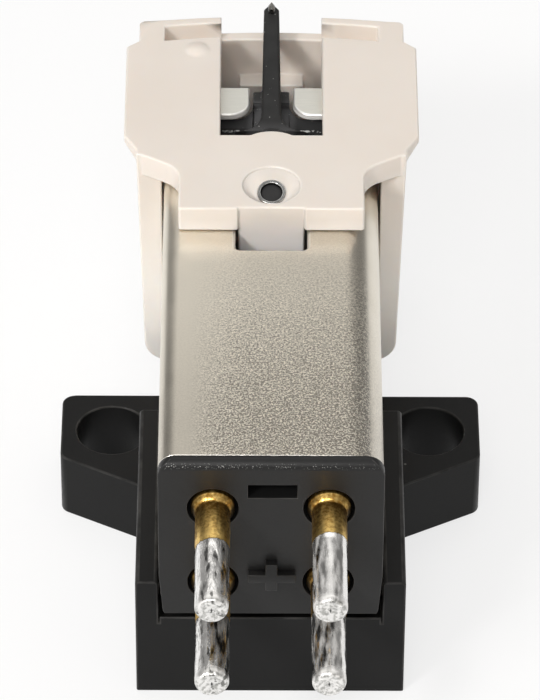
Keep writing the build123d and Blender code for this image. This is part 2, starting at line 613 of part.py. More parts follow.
def cantilever():
    """Black moulding: tapered rod, root and arms in one, with a V-shaped keel that seats the magnets."""
    rod_plan = mirrored(
        [
            (0, 0),
            (ROD_ROOT_WIDTH / 2, 0),
            (ROD_END_WIDTH / 2, ROD_END - ROD_POINT),
            (SHANK_RADIUS, ROD_END),
            (0, ROD_END),
        ]
    )
    rod_side = outline(
        [
            (0, -ROD_ROOT_HEIGHT / 2),
            (0, ROD_ROOT_HEIGHT / 2),
            (ROD_END, ROD_END_HEIGHT / 2),
            (ROD_END, -ROD_END_HEIGHT / 2),
        ]
    )
    rod = upright(rod_plan, -PART_SPAN, PART_SPAN) & crosswise(rod_side, -PART_SPAN, PART_SPAN)
    half_root = ROOT_WIDTH / 2
    half_arms = ARM_SPAN / 2
    arms_plan = mirrored(
        [
            (0, ARM_REAR),
            (half_arms, ARM_REAR),
            (half_arms, ARM_FRONT),
            (half_root, ARM_FRONT),
            (half_root, ROOT_FRONT),
            (0, ROOT_FRONT),
        ]
    )
    arms_plan = fillet(corners_at(arms_plan, half_root, ARM_FRONT), ROOT_FILLET)
    arms = upright(arms_plan, ARM_UNDERSIDE, -ARM_DROP)
    root = block(-half_root, half_root, ARM_REAR, ROOT_FRONT, ARM_UNDERSIDE, -ROOT_DROP - ROOT_STEP)
    root += block(-half_root, half_root, ROOT_REAR, ROOT_FRONT, ARM_UNDERSIDE, -ROOT_DROP)
    half_flare = FLARE_WIDTH / 2
    half_neck = ROD_END_WIDTH / 2
    neck_y = ARM_REAR + FLARE_LENGTH
    flare_plan = mirrored(
        [
            (0, ARM_REAR),
            (half_flare, ARM_REAR),
            (half_flare, neck_y),
            (half_neck, neck_y),
            (half_neck, ROOT_REAR),
            (0, ROOT_REAR),
        ]
    )
    flare_plan = fillet(corners_at(flare_plan, half_neck, neck_y), FLARE_RADIUS)
    flare = upright(flare_plan, ARM_UNDERSIDE, FLARE_RISE)
    hub = lengthwise(Circle(HUB_RADIUS), 0, HUB_LENGTH)
    keel_section = Pos(0, KEEL_CENTRE) * Rot(0, 0, FORK_ANGLE) * Rectangle(KEEL_WIDTH, KEEL_WIDTH)
    keel = lengthwise(keel_section, ARM_REAR, ARM_FRONT)
    bore = lengthwise(Circle(WIRE_RADIUS + WIRE_FIT), -OVERCUT, HUB_LENGTH + WIRE_FIT)
    solid = rod + arms + root + flare + hub + keel - bore
    shank_hole = Pos(0, ROD_END - SHANK_INSET, 0) * Cylinder(SHANK_RADIUS + MAGNET_FIT, PART_SPAN)
    return SUSPENSION * (solid - shank_hole)


def magnet(side):
    """Rod magnet that butts on one lower face of the keel and hangs into its core's fork."""
    start = KEEL_WIDTH / 2 + MAGNET_FIT
    rod = Pos(0, 0, -start - MAGNET_LENGTH / 2) * Cylinder(MAGNET_RADIUS, MAGNET_LENGTH)
    return SUSPENSION * Pos(0, ARM_MIDDLE, KEEL_CENTRE) * Rot(0, -side * FORK_ANGLE, 0) * rod


def rod_half_height(y):
    """Half the rod's height at a distance from the pivot."""
    return (ROD_ROOT_HEIGHT + (ROD_END_HEIGHT - ROD_ROOT_HEIGHT) * y / ROD_END) / 2


def stylus_shank():
    y = ROD_END - SHANK_INSET
    foot = -rod_half_height(y)
    height = rod_half_height(y) + SHANK_HEIGHT - foot
    return SUSPENSION * Pos(0, y, foot + height / 2) * Cylinder(SHANK_RADIUS, height)


def diamond_tip():
    y = ROD_END - SHANK_INSET
    foot = rod_half_height(y) + SHANK_HEIGHT
    cone = Cone(SHANK_RADIUS, TIP_END_RADIUS, TIP_HEIGHT)
    return SUSPENSION * Pos(0, y, foot + TIP_HEIGHT / 2) * cone


def guide_plate():
    """Folded sheet on the right: a lug under the top plate and a leg down the side wall."""
    wall = CAVITY_WIDTH / 2
    lug_plan = outline(
        [
            (GUIDE_INNER_X, GUIDE_REAR_Y),
            (wall, GUIDE_REAR_Y),
            (wall, GUIDE_FRONT_Y),
            (GUIDE_INNER_X, GUIDE_FRONT_Y),
        ]
    )
    lug_plan = fillet(corners_at(lug_plan, GUIDE_INNER_X, GUIDE_REAR_Y), GUIDE_CORNER_RADIUS)
    lug = upright(lug_plan, UNDER_PLATE_Z - GUIDE_SHEET, UNDER_PLATE_Z)
    foot = UNDER_PLATE_Z - GUIDE_LEG_DROP
    sheet = lug + block(wall - GUIDE_SHEET, wall, GUIDE_REAR_Y, GUIDE_FRONT_Y, foot, UNDER_PLATE_Z)
    fold = sheet.edges().filter_by(Axis.Y).sort_by(lambda edge: edge.center().X + edge.center().Z)[-1]
    return fillet(fold, GUIDE_SHEET)


pieces = {
    "mounting_bracket": mounting_bracket(),
    "shield_can": shield_can(),
    "terminal_plate": terminal_plate(),
    "stylus_holder": stylus_holder(),
    "clamp_sleeve": clamp_sleeve(),
    "tension_tube": tension_tube(),
    "tie_wire": tie_wire(),
    "suspension_damper": suspension_damper(),
    "cantilever": cantilever(),
    "stylus_shank": stylus_shank(),
    "diamond_tip": diamond_tip(),
    "guide_plate_right": guide_plate(),
    "guide_plate_left": mirror(guide_plate(), Plane.YZ),
    "magnet_left": magnet(-1),
    "magnet_right": magnet(1),
}
for name, (x, z) in pin_places().items():
    pieces[name] = terminal_pin(x, z)
for side_name, place in fork_places().items():
    pieces[f"pole_core_{side_name}"] = pole_core(place)
    for leg_name, leg_side in (("a", -1), ("b", 1)):
        pieces[f"coil_bobbin_{side_name}_{leg_name}"] = coil_bobbin(place, leg_side)
        pieces[f"coil_winding_{side_name}_{leg_name}"] = coil_winding(place, leg_side)

os.makedirs("parts", exist_ok=True)
for name, piece in pieces.items():
    export_step(piece, f"parts/{name}.step")
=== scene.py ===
import bmesh
import bpy
import math
from mathutils import Matrix, Vector


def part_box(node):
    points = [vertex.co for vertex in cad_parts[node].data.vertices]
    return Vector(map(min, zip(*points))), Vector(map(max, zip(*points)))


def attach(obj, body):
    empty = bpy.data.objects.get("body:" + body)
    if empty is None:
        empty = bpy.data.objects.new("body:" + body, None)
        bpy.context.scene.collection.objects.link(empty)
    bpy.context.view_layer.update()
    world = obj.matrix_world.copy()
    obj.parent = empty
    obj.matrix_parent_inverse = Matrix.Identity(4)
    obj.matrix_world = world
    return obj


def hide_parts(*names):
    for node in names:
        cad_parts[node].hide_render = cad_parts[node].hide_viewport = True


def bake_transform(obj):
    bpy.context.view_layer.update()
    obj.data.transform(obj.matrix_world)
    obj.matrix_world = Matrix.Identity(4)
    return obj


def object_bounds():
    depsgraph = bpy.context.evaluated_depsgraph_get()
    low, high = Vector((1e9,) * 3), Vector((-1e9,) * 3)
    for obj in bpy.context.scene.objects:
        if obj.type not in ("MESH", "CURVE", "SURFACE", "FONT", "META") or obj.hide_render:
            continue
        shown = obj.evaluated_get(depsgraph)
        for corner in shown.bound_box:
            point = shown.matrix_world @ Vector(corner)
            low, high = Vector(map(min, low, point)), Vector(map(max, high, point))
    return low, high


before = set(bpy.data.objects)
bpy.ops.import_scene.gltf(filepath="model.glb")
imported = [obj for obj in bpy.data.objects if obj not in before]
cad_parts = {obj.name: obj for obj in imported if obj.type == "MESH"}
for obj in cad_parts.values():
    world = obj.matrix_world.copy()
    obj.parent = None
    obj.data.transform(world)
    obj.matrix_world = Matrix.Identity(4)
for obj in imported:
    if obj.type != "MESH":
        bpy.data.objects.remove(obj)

cad_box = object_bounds()
scene = bpy.context.scene
MM = 0.001

# Mounting bracket: one black glass-filled nylon moulding with two bolt ears and a cradle for the can.
# Its faces have the fine satin texture of the mould, and its edges are softly rounded.
# The cartridge is bolted to the headshell through its two holes.


def add_node(tree, kind, inputs=None, **settings):
    """Adds a node with its settings, and sets or links each named input."""
    made = tree.nodes.new(kind)
    for name, value in settings.items():
        setattr(made, name, value)
    for name, value in (inputs or {}).items():
        if isinstance(value, bpy.types.NodeSocket):
            tree.links.new(value, made.inputs[name])
        else:
            made.inputs[name].default_value = value
    return made


def new_group(name, inputs, outputs):
    """An empty shader group with number sockets, and its two end nodes."""
    tree = bpy.data.node_groups.new(name, "ShaderNodeTree")
    for label, value in inputs.items():
        socket = tree.interface.new_socket(label, in_out="INPUT", socket_type="NodeSocketFloat")
        socket.default_value = value
    for label in outputs:
        tree.interface.new_socket(label, in_out="OUTPUT", socket_type="NodeSocketFloat")
    return tree, tree.nodes.new("NodeGroupInput"), tree.nodes.new("NodeGroupOutput")


def new_finish(name, **plain):
    """A material with one Principled shader; plain values go straight to the shader's own sockets."""
    material = bpy.data.materials.new(name)
    material.use_nodes = True
    tree = material.node_tree
    shader = tree.nodes["Principled BSDF"]
    for label, value in plain.items():
        shader.inputs[label.replace("_", " ").title().replace("Ior", "IOR")].default_value = value
    return material, tree, shader


def use_group(tree, group, **values):
    """Places a shader group in a material with its own values, and gives its outputs."""
    placed = tree.nodes.new("ShaderNodeGroup")
    placed.node_tree = group
    for label, value in values.items():
        placed.inputs[label.replace("_", " ").capitalize()].default_value = value
    return placed.outputs


def feed(shader, **sources):
    """Links each source to the shader's socket of that name."""
    for label, source in sources.items():
        shader.id_data.links.new(source, shader.inputs[label.replace("_", " ").title()])


def blend_colour(tree, factor, low, high):
    """A colour between two others, by a factor that changes over the surface."""
    mix = add_node(tree, "ShaderNodeMix", {"Factor": factor}, data_type="RGBA")
    for place, colour in ((6, low), (7, high)):
        if isinstance(colour, bpy.types.NodeSocket):
            tree.links.new(colour, mix.inputs[place])
        else:
            mix.inputs[place].default_value = (*colour, 1)
    return mix.outputs[2]


def spread(tree, value, low, high, start=0.0, end=1.0):
    """Maps a value from one range to another, and stops at both ends."""
    node = add_node(tree, "ShaderNodeMapRange", {"Value": value})
    for label, number in (("From Min", start), ("From Max", end), ("To Min", low), ("To Max", high)):
        node.inputs[label].default_value = number
    return node.outputs["Result"]


def times(tree, first, second, operation="MULTIPLY"):
    """Two values multiplied, or joined by another operation."""
    return add_node(tree, "ShaderNodeMath", {0: first, 1: second}, operation=operation).outputs[0]


def bump(tree, height, strength, distance):
    """Normals for a height that changes over the surface."""
    node = add_node(tree, "ShaderNodeBump", {"Height": height})
    node.inputs["Strength"].default_value = strength
    node.inputs["Distance"].default_value = distance
    return node.outputs["Normal"]


mould_grain, ends, results = new_group(
    "mould grain", {"Grain": 9000.0, "Mottle": 500.0}, ["Grain", "Mottle"]
)
place = add_node(mould_grain, "ShaderNodeTexCoord").outputs["Object"]
for label, detail in (("Grain", 2.0), ("Mottle", 3.0)):
    texture = add_node(
        mould_grain, "ShaderNodeTexNoise", {"Vector": place, "Scale": ends.outputs[label], "Detail": detail}
    )
    mould_grain.links.new(texture.outputs["Fac"], results.inputs[label])

# Specks on upward faces: settled dust on most parts, and painted glints on the terminal plate's rounded
# edge.
dust_and_glints, ends, results = new_group("dust and glints", {"Specks": 2500.0, "Amount": 0.1}, ["Mask"])
place = add_node(dust_and_glints, "ShaderNodeTexCoord").outputs["Object"]
cells = add_node(
    dust_and_glints, "ShaderNodeTexVoronoi", {"Vector": place, "Scale": ends.outputs["Specks"]}
)
chance = add_node(dust_and_glints, "ShaderNodeSeparateColor", {"Color": cells.outputs["Color"]})
picked = times(dust_and_glints, chance.outputs["Red"], ends.outputs["Amount"], "LESS_THAN")
reach = spread(dust_and_glints, chance.outputs["Green"], 0.1, 0.34)
speck = times(dust_and_glints, cells.outputs["Distance"], reach, "LESS_THAN")
facing = add_node(
    dust_and_glints,
    "ShaderNodeSeparateXYZ",
    {"Vector": add_node(dust_and_glints, "ShaderNodeNewGeometry").outputs["Normal"]},
)
lying = spread(dust_and_glints, facing.outputs["Z"], 0.0, 1.0, 0.1, 0.5)
mask = times(dust_and_glints, times(dust_and_glints, picked, speck), lying)
dust_and_glints.links.new(mask, results.inputs["Mask"])

# Patchy mask on the rounded strips that lightens them: edge wear, and a painted edge highlight.
edge_wear_and_glint, ends, results = new_group("edge wear and glint", {"Patches": 1500.0, "Least": 0.3}, ["Mask"])
place = add_node(edge_wear_and_glint, "ShaderNodeTexCoord").outputs["Object"]
patches = add_node(
    edge_wear_and_glint, "ShaderNodeTexNoise", {"Vector": place, "Scale": ends.outputs["Patches"], "Detail": 3.0}
)
strip = add_node(edge_wear_and_glint, "ShaderNodeAttribute", attribute_name="wear_and_glint")
wear_and_glint_patches = add_node(
    edge_wear_and_glint,
    "ShaderNodeMapRange",
    {"Value": patches.outputs["Fac"], "From Min": 0.35, "From Max": 0.65, "To Min": ends.outputs["Least"]},
)
mask = times(edge_wear_and_glint, wear_and_glint_patches.outputs["Result"], strip.outputs["Fac"])
edge_wear_and_glint.links.new(mask, results.inputs["Mask"])


WELD = 0.0008 * MM
FLAT = math.radians(0.5)


def welded(node):
    """A bmesh copy of a solid, its loose triangles welded and its flat faces made whole."""
    work = bmesh.new()
    work.from_mesh(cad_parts[node].data)
    bmesh.ops.remove_doubles(work, verts=work.verts, dist=WELD)
    bmesh.ops.dissolve_degenerate(work, dist=WELD, edges=work.edges)
    bmesh.ops.dissolve_limit(work, angle_limit=FLAT, verts=work.verts, edges=work.edges)
    for edge in work.edges:
        edge.smooth = True
    return work


def as_piece(work, name):
    """A new object at the origin with this mesh."""
    mesh = bpy.data.meshes.new(name)
    work.to_mesh(mesh)
    work.free()
    for stale in ("custom_normal", "sharp_face"):
        if stale in mesh.attributes:
            mesh.attributes.remove(mesh.attributes[stale])
    piece = bpy.data.objects.new(name, mesh)
    scene.collection.objects.link(piece)
    return piece


def settle(piece):
    """Applies the modifiers: the piece keeps only the plain mesh that they make."""
    graph = bpy.context.evaluated_depsgraph_get()
    graph.update()
    mesh = bpy.data.meshes.new_from_object(
        piece.evaluated_get(graph), preserve_all_data_layers=True, depsgraph=graph
    )
    piece.modifiers.clear()
    piece.data = mesh
    return piece


def softened(work, name, radius, angle=28, share=None, segments=3):
    """Rounds a solid's sharp edges; the rounded strips are marked so that wear and a painted edge highlight
    can follow them.
    """
    weight = work.edges.layers.float.new("bevel_weight_edge")
    for edge in work.edges:
        if edge.is_manifold and edge.calc_face_angle() > math.radians(angle):
            edge[weight] = share(edge) if share else 1.0
            edge.smooth = edge[weight] > 0
    piece = as_piece(work, name)
    for label in ("body", "edge"):
        piece.data.materials.append(bpy.data.materials.new(label))
    piece.data.shade_smooth()
    rounding = piece.modifiers.new("rounding", "BEVEL")
    rounding.limit_method = "WEIGHT"
    rounding.width = radius
    rounding.segments = segments
    rounding.use_clamp_overlap = False
    rounding.material = 1
    piece.modifiers.new("facing", "WEIGHTED_NORMAL").keep_sharp = True
    settle(piece)
    wear_and_glint = piece.data.attributes.new("wear_and_glint", "FLOAT", "CORNER")
    for polygon in piece.data.polygons:
        for corner in polygon.loop_indices:
            wear_and_glint.data[corner].value = polygon.material_index
        polygon.material_index = 0
    piece.data.materials.clear()
    return piece


def fit_piece(piece, material, body, slot, *nodes):
    """Gives a piece its finish, its body and the solids that it stands for."""
    piece.data.materials.clear()
    piece.data.materials.append(material)
    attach(piece, body)
    if nodes:
        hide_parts(*nodes)


def black_plastic(name, deep, pale, rough, sheen, dust):
    """Satin black moulding: fine mould texture, edges paler from wear and a painted highlight, and a little
    dust.
    """
    material, tree, shader = new_finish(name, specular_ior_level=sheen)
    grain = use_group(tree, mould_grain, grain=9000.0, mottle=420.0)
    wear_and_glint = use_group(tree, edge_wear_and_glint, patches=1300.0, least=0.25)
    specks = use_group(tree, dust_and_glints, specks=5200.0, amount=dust)
    shade = blend_colour(tree, grain["Mottle"], deep, pale)
    # Rounded edges are painted paler in patches: wear, with a painted highlight.
    shade = blend_colour(tree, times(tree, wear_and_glint["Mask"], 0.5), shade, (0.075, 0.073, 0.07))
    shade = blend_colour(tree, times(tree, specks["Mask"], 0.6), shade, (0.2, 0.2, 0.19))
    feed(shader, base_color=shade)
    gloss = spread(tree, grain["Grain"], rough - 0.06, rough + 0.08, 0.3, 0.7)
    feed(shader, roughness=gloss)
    feed(shader, normal=bump(tree, grain["Grain"], 0.35, 0.004 * MM))
    return material


def add_box(work, low, high):
    """A box between two corners, added to a mesh."""
    low, high = Vector(low), Vector(high)
    place = Matrix.Translation((low + high) / 2) @ Matrix.Diagonal((*(high - low), 1))
    bmesh.ops.create_cube(work, size=1, matrix=place)


def join_or_cut(piece, tool, operation):
    """Joins a tool to a piece, or cuts it out of the piece."""
    step = piece.modifiers.new("step", "BOOLEAN")
    step.operation = operation
    step.solver = "EXACT"
    step.object = tool
    settle(piece)
    bpy.data.objects.remove(tool)


def reworked(piece):
    """The mesh of a joined or cut piece, its flat faces made whole again."""
    work = bmesh.new()
    work.from_mesh(piece.data)
    bpy.data.objects.remove(piece)
    bmesh.ops.dissolve_limit(work, angle_limit=FLAT, verts=work.verts, edges=work.edges)
    return work


bracket_black = black_plastic(
    "bracket black", (0.007, 0.007, 0.007), (0.011, 0.011, 0.011), rough=0.36, sheen=0.15, dust=0.006
)
bracket = as_piece(welded("mounting_bracket"), "bracket_rim")
rim = bmesh.new()
can_low, can_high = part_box("shield_can")
rim_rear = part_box("mounting_bracket")[0][1]
rim_low = (can_low[0], rim_rear, can_low[2] - 0.4 * MM)
rim_high = (can_high[0], can_low[1] - 0.02 * MM, can_low[2] + 0.23 * MM)
add_box(rim, rim_low, rim_high)
join_or_cut(bracket, as_piece(rim, "rim"), "UNION")
bracket = softened(reworked(bracket), "bracket_moulding", 0.07 * MM)
fit_piece(bracket, bracket_black, "cartridge_body", "bracket_plastic", "mounting_bracket")

# Shield can: a rectangular tube of nickel-silver sheet, bead-blasted to a warm grey sparkle.
# It is pressed into the bracket's cradle and closed behind by the terminal plate.
# The blasting is finest towards the stylus end and coarser at the rear.


def object_axes(tree):
    """Object coordinates, and their three axes."""
    spot = add_node(tree, "ShaderNodeTexCoord").outputs["Object"]
    return spot, add_node(tree, "ShaderNodeSeparateXYZ", {"Vector": spot}).outputs


can_nickel, tree, shader = new_finish("blasted nickel", metallic=1.0)
spot, axes = object_axes(tree)
fine = use_group(tree, mould_grain, grain=27000.0, mottle=300.0)
coarse = use_group(tree, mould_grain, grain=12500.0, mottle=1100.0)
rearward = spread(tree, axes["Y"], 0.08, 1.6, 0.0005, -0.011)
sideways = spread(tree, axes["X"], 0.06, 1.0, -0.0031, -0.0014)
right_bend = spread(tree, axes["X"], 0.0, 1.0, can_high[0] - 0.64 * MM, can_high[0] - 0.48 * MM)
coarseness = times(tree, times(tree, rearward, sideways), spread(tree, right_bend, 1.0, 0.15))
pits = times(
    tree,
    spread(tree, coarse["Grain"], -0.7, 0.7, 0.3, 0.7),
    spread(tree, fine["Grain"], -0.55, 0.55, 0.3, 0.7),
    "ADD",
)
grains = times(tree, pits, coarseness)
# Painted reflection: the tone is lighter towards the left, with a lighter line at the left edge and at the
# right bend, a dark band just inside the right bend, and darker towards the rear.
across = times(
    tree,
    spread(tree, axes["X"], 0.79, 0.585, -0.0033, -0.0006),
    spread(tree, axes["X"], 0.0, -0.08, 0.0, 0.003),
    "ADD",
)
dark_band = spread(tree, axes["X"], 0.0, -0.08, can_high[0] - 1.3 * MM, can_high[0] - 0.9 * MM)
right_edge = times(tree, times(tree, right_bend, 0.34), dark_band, "ADD")
left_edge = spread(tree, axes["X"], 0.08, 0.0, can_low[0] + 0.03 * MM, can_low[0] + 0.15 * MM)
across = times(tree, across, times(tree, right_edge, left_edge, "ADD"), "ADD")
painted_light_tone = times(tree, across, spread(tree, axes["Y"], 0.0, -0.3, -0.003, -0.01), "ADD")
tone = times(tree, painted_light_tone, grains, "ADD")
shade = blend_colour(tree, tone, (0.3, 0.275, 0.235), (0.95, 0.89, 0.77))
# Rounded edges are painted bright in patches: wear, with a painted glint.
wear_and_glint = use_group(tree, edge_wear_and_glint, patches=2200.0, least=0.4)
shade = blend_colour(tree, times(tree, wear_and_glint["Mask"], 0.6), shade, (0.93, 0.92, 0.89))
feed(shader, base_color=shade)
feed(shader, roughness=spread(tree, coarse["Mottle"], 0.3, 0.38, 0.3, 0.7))
feed(shader, normal=bump(tree, grains, 0.5, 0.01 * MM))


can_middle = (can_low[2] + can_high[2]) / 2
SHEET = 0.32 * MM
# side and height of each bend, its width and depth outside in millimetres, and its first angle
BENDS = [
    (1, 1, 1.45, 1.8, 0),
    (-1, 1, 0.7, 0.7, 90),
    (-1, -1, 0.7, 0.7, 180),
    (1, -1, 0.7, 0.7, 270),
]


def can_section(inset):
    """Points round the folded sheet, whose upper right bend is softer than the others."""
    points = []
    for side, rise, width, depth, first in BENDS:
        x = (can_high[0] - width * MM) * side
        z = (can_high[2] if rise > 0 else can_low[2]) - depth * MM * rise
        for step in range(17):
            turn = math.radians(first + 90 * step / 16)
            points.append(
                (x + (width * MM - inset) * math.cos(turn), z + (depth * MM - inset) * math.sin(turn))
            )
    return points


def bridge(work, first, second):
    """Faces between two rings of as many points."""
    for spot in range(len(first)):
        after = (spot + 1) % len(first)
        work.faces.new((first[spot], first[after], second[after], second[spot]))


work = bmesh.new()
rings = []
can_front = can_high[1] - 0.12 * MM
for inset, along in ((0, can_low[1]), (0, can_front), (SHEET, can_front), (SHEET, can_low[1])):
    rings.append([work.verts.new((x, along, z)) for x, z in can_section(inset)])
for first, second in zip(rings, rings[1:] + rings[:1]):
    bridge(work, first, second)
bmesh.ops.recalc_face_normals(work, faces=work.faces)
can = as_piece(work, "can_blank")
NOTCH_HALF = 1.41 * MM
NOTCH_REAR = 0.21 * MM
NOTCH_CORNER = 0.22 * MM
NEAR = 0.01 * MM
outline = [(NOTCH_HALF, 0.05), (-NOTCH_HALF, 0.05)]
for side, first in ((-1, 180), (1, 270)):
    for step in range(9):
        turn = math.radians(first + 90 * step / 8)
        x = side * (NOTCH_HALF - NOTCH_CORNER) + NOTCH_CORNER * math.cos(turn)
        outline.append((x, NOTCH_REAR + NOTCH_CORNER * (1 + math.sin(turn))))
openings = bmesh.new()
floor_ring = [openings.verts.new((x, y, can_middle)) for x, y in outline]
roof_ring = [openings.verts.new((x, y, 0.05)) for x, y in outline]
openings.faces.new(floor_ring)
openings.faces.new(roof_ring)
bridge(openings, floor_ring, roof_ring)
bmesh.ops.recalc_face_normals(openings, faces=openings.faces)
add_box(openings, (-0.05, -0.05, -0.05), (0.05, can_low[1] + 0.8 * MM, 6.95 * MM))
join_or_cut(can, as_piece(openings, "can_openings"), "DIFFERENCE")


def notch_rolling(edge):
    """The upper rim of the notch is rolled three times as round as the other edges."""
    upper = all(end.co.z > can_high[2] - NEAR for end in edge.verts)
    beside = all(abs(end.co.x) < NOTCH_HALF + NEAR for end in edge.verts)
    ahead = all(end.co.y > NOTCH_REAR - NEAR for end in edge.verts)
    return 1.0 if upper and beside and ahead else 0.33


can = softened(reworked(can), "shield_can_sheet", 0.12 * MM, share=notch_rolling)
fit_piece(can, can_nickel, "cartridge_body", "can_nickel", "shield_can")

# Pole cores: two forks of stacked soft-iron sheet that carry the magnets' flux through the coils.
# They stand on posts of the terminal plate, hidden in the can.

core_iron, tree, shader = new_finish("core iron", metallic=1.0)
grain = use_group(tree, mould_grain, grain=6000.0, mottle=900.0)
spot = add_node(tree, "ShaderNodeTexCoord").outputs["Object"]
layers = add_node(
    tree, "ShaderNodeTexWave", {"Vector": spot, "Scale": 1900.0, "Distortion": 0.3}, bands_direction="Z"
)
shade = blend_colour(tree, grain["Mottle"], (0.3, 0.29, 0.28), (0.48, 0.47, 0.45))
seams = spread(tree, layers.outputs["Fac"], 0.35, 0.0, 0.0, 0.25)
shade = blend_colour(tree, seams, shade, (0.1, 0.1, 0.1))
feed(shader, base_color=shade)
feed(shader, roughness=spread(tree, grain["Grain"], 0.32, 0.5))
feed(shader, normal=bump(tree, layers.outputs["Fac"], 0.4, 0.01 * MM))
for side in ("left", "right"):
    core = softened(welded(f"pole_core_{side}"), f"core_fork_{side}", 0.03 * MM, segments=2)
    fit_piece(core, core_iron, "cartridge_body", "core_steel", f"pole_core_{side}")

# Coil bobbins: four small spools of natural nylon, pushed on the legs of the forks.
# Their flanges keep the windings in place.

spool_nylon, tree, shader = new_finish("spool nylon", subsurface_weight=0.15, subsurface_scale=0.0003)
grain = use_group(tree, mould_grain, grain=7000.0, mottle=700.0)
shade = blend_colour(tree, grain["Mottle"], (0.5, 0.46, 0.37), (0.62, 0.58, 0.49))
feed(shader, base_color=shade)
feed(shader, roughness=spread(tree, grain["Grain"], 0.4, 0.52))
feed(shader, normal=bump(tree, grain["Grain"], 0.3, 0.004 * MM))
coils = [f"{side}_{leg}" for side in ("left", "right") for leg in ("a", "b")]
for coil in coils:
    spool = softened(welded(f"coil_bobbin_{coil}"), f"spool_{coil}", 0.03 * MM, segments=2)
    fit_piece(spool, spool_nylon, "cartridge_body", "coil_bobbin", f"coil_bobbin_{coil}")

# Coil windings: enamelled copper wire wound turn against turn on the four spools.
# One rule makes them: a helix as long as the winding, swept with the wire's round section.

WIRE_DIAMETER = 0.1 * MM
coil_low, coil_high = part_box("coil_winding_left_a")
coil_radius = (coil_high[0] - coil_low[0]) / 2
coil_length = coil_high[1] - coil_low[1]

enamelled_copper, tree, shader = new_finish("enamelled copper", metallic=1.0, coat_roughness=0.12)
grain = use_group(tree, mould_grain, grain=5000.0, mottle=1200.0)
shade = blend_colour(tree, grain["Mottle"], (0.42, 0.14, 0.05), (0.72, 0.3, 0.13))
feed(shader, base_color=shade)
feed(shader, roughness=spread(tree, grain["Grain"], 0.22, 0.36))
feed(shader, coat_weight=spread(tree, grain["Mottle"], 0.4, 0.7))


def new_maker(name, inputs):
    """A Geometry Nodes tree with a geometry in and out and named inputs."""
    tree = bpy.data.node_groups.new(name, "GeometryNodeTree")
    tree.interface.new_socket("Geometry", in_out="INPUT", socket_type="NodeSocketGeometry")
    for label, (kind, value) in inputs.items():
        socket = tree.interface.new_socket(label, in_out="INPUT", socket_type=kind)
        if value is not None:
            socket.default_value = value
    tree.interface.new_socket("Geometry", in_out="OUTPUT", socket_type="NodeSocketGeometry")
    return tree, tree.nodes.new("NodeGroupInput"), tree.nodes.new("NodeGroupOutput")


def run_maker(piece, tree, **values):
    """Runs a tree on a piece, its inputs set by their identifiers, and keeps the plain mesh."""
    maker = piece.modifiers.new(tree.name, "NODES")
    maker.node_group = tree
    for item in tree.interface.items_tree:
        label = item.name.replace(" ", "_").lower()
        if item.in_out == "INPUT" and label in values:
            maker[item.identifier] = values[label]
    return settle(piece)


NUMBER = "NodeSocketFloat"
winder, ends, results = new_maker(
    "coil winder",
    {
        "Radius": (NUMBER, 0.0008),
        "Length": (NUMBER, 0.006),
        "Wire": (NUMBER, 0.0001),
        "Finish": ("NodeSocketMaterial", None),
    },
)
half_wire = times(winder, ends.outputs["Wire"], 0.5)
core_line = times(winder, ends.outputs["Radius"], half_wire, "SUBTRACT")
run = times(winder, ends.outputs["Length"], ends.outputs["Wire"], "SUBTRACT")
turns = times(winder, run, ends.outputs["Wire"], "DIVIDE")
helix = add_node(
    winder,
    "GeometryNodeCurveSpiral",
    {
        "Resolution": 20,
        "Rotations": turns,
        "Start Radius": core_line,
        "End Radius": core_line,
        "Height": run,
    },
)
section = add_node(winder, "GeometryNodeCurvePrimitiveCircle", {"Resolution": 6, "Radius": half_wire})
wire_mesh = add_node(
    winder,
    "GeometryNodeCurveToMesh",
    {"Curve": helix.outputs["Curve"], "Profile Curve": section.outputs["Curve"], "Fill Caps": True},
)
drop = add_node(winder, "ShaderNodeCombineXYZ", {"Y": times(winder, run, -0.5)})
laid = add_node(
    winder,
    "GeometryNodeTransform",
    {
        "Geometry": wire_mesh.outputs["Mesh"],
        "Rotation": (-math.pi / 2, 0, 0),
        "Translation": drop.outputs[0],
    },
)
placed = add_node(
    winder, "GeometryNodeInstanceOnPoints", {"Points": ends.outputs["Geometry"], "Instance": laid.outputs[0]}
)
real = add_node(winder, "GeometryNodeRealizeInstances", {"Geometry": placed.outputs[0]})
dressed = add_node(
    winder, "GeometryNodeSetMaterial", {"Geometry": real.outputs[0], "Material": ends.outputs["Finish"]}
)
winder.links.new(dressed.outputs[0], results.inputs[0])

work = bmesh.new()
for coil in coils:
    low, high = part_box(f"coil_winding_{coil}")
    work.verts.new((Vector(low) + Vector(high)) / 2)
turns_piece = as_piece(work, "coil_turns")
run_maker(
    turns_piece, winder, radius=coil_radius, length=coil_length, wire=WIRE_DIAMETER, finish=enamelled_copper
)
turns_piece.data.shade_smooth()
windings = [f"coil_winding_{coil}" for coil in coils]
fit_piece(turns_piece, enamelled_copper, "cartridge_body", "coil_copper", *windings)

# Terminal plate: a black moulding that caps the rear of the can, with a counterbore for each pin.
# The mould left a deep bar beside the upper row of pins and a raised cross beside the lower row.

terminal_black = black_plastic(
    "terminal black", (0.01, 0.01, 0.01), (0.015, 0.015, 0.015), rough=0.42, sheen=0.3, dust=0.006
)
FACE_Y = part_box("terminal_plate")[0][1]
tree = terminal_black.node_tree
shader = tree.nodes["Principled BSDF"]
shade = shader.inputs["Base Color"].links[0].from_socket
gloss = shader.inputs["Roughness"].links[0].from_socket
spot, axes = object_axes(tree)
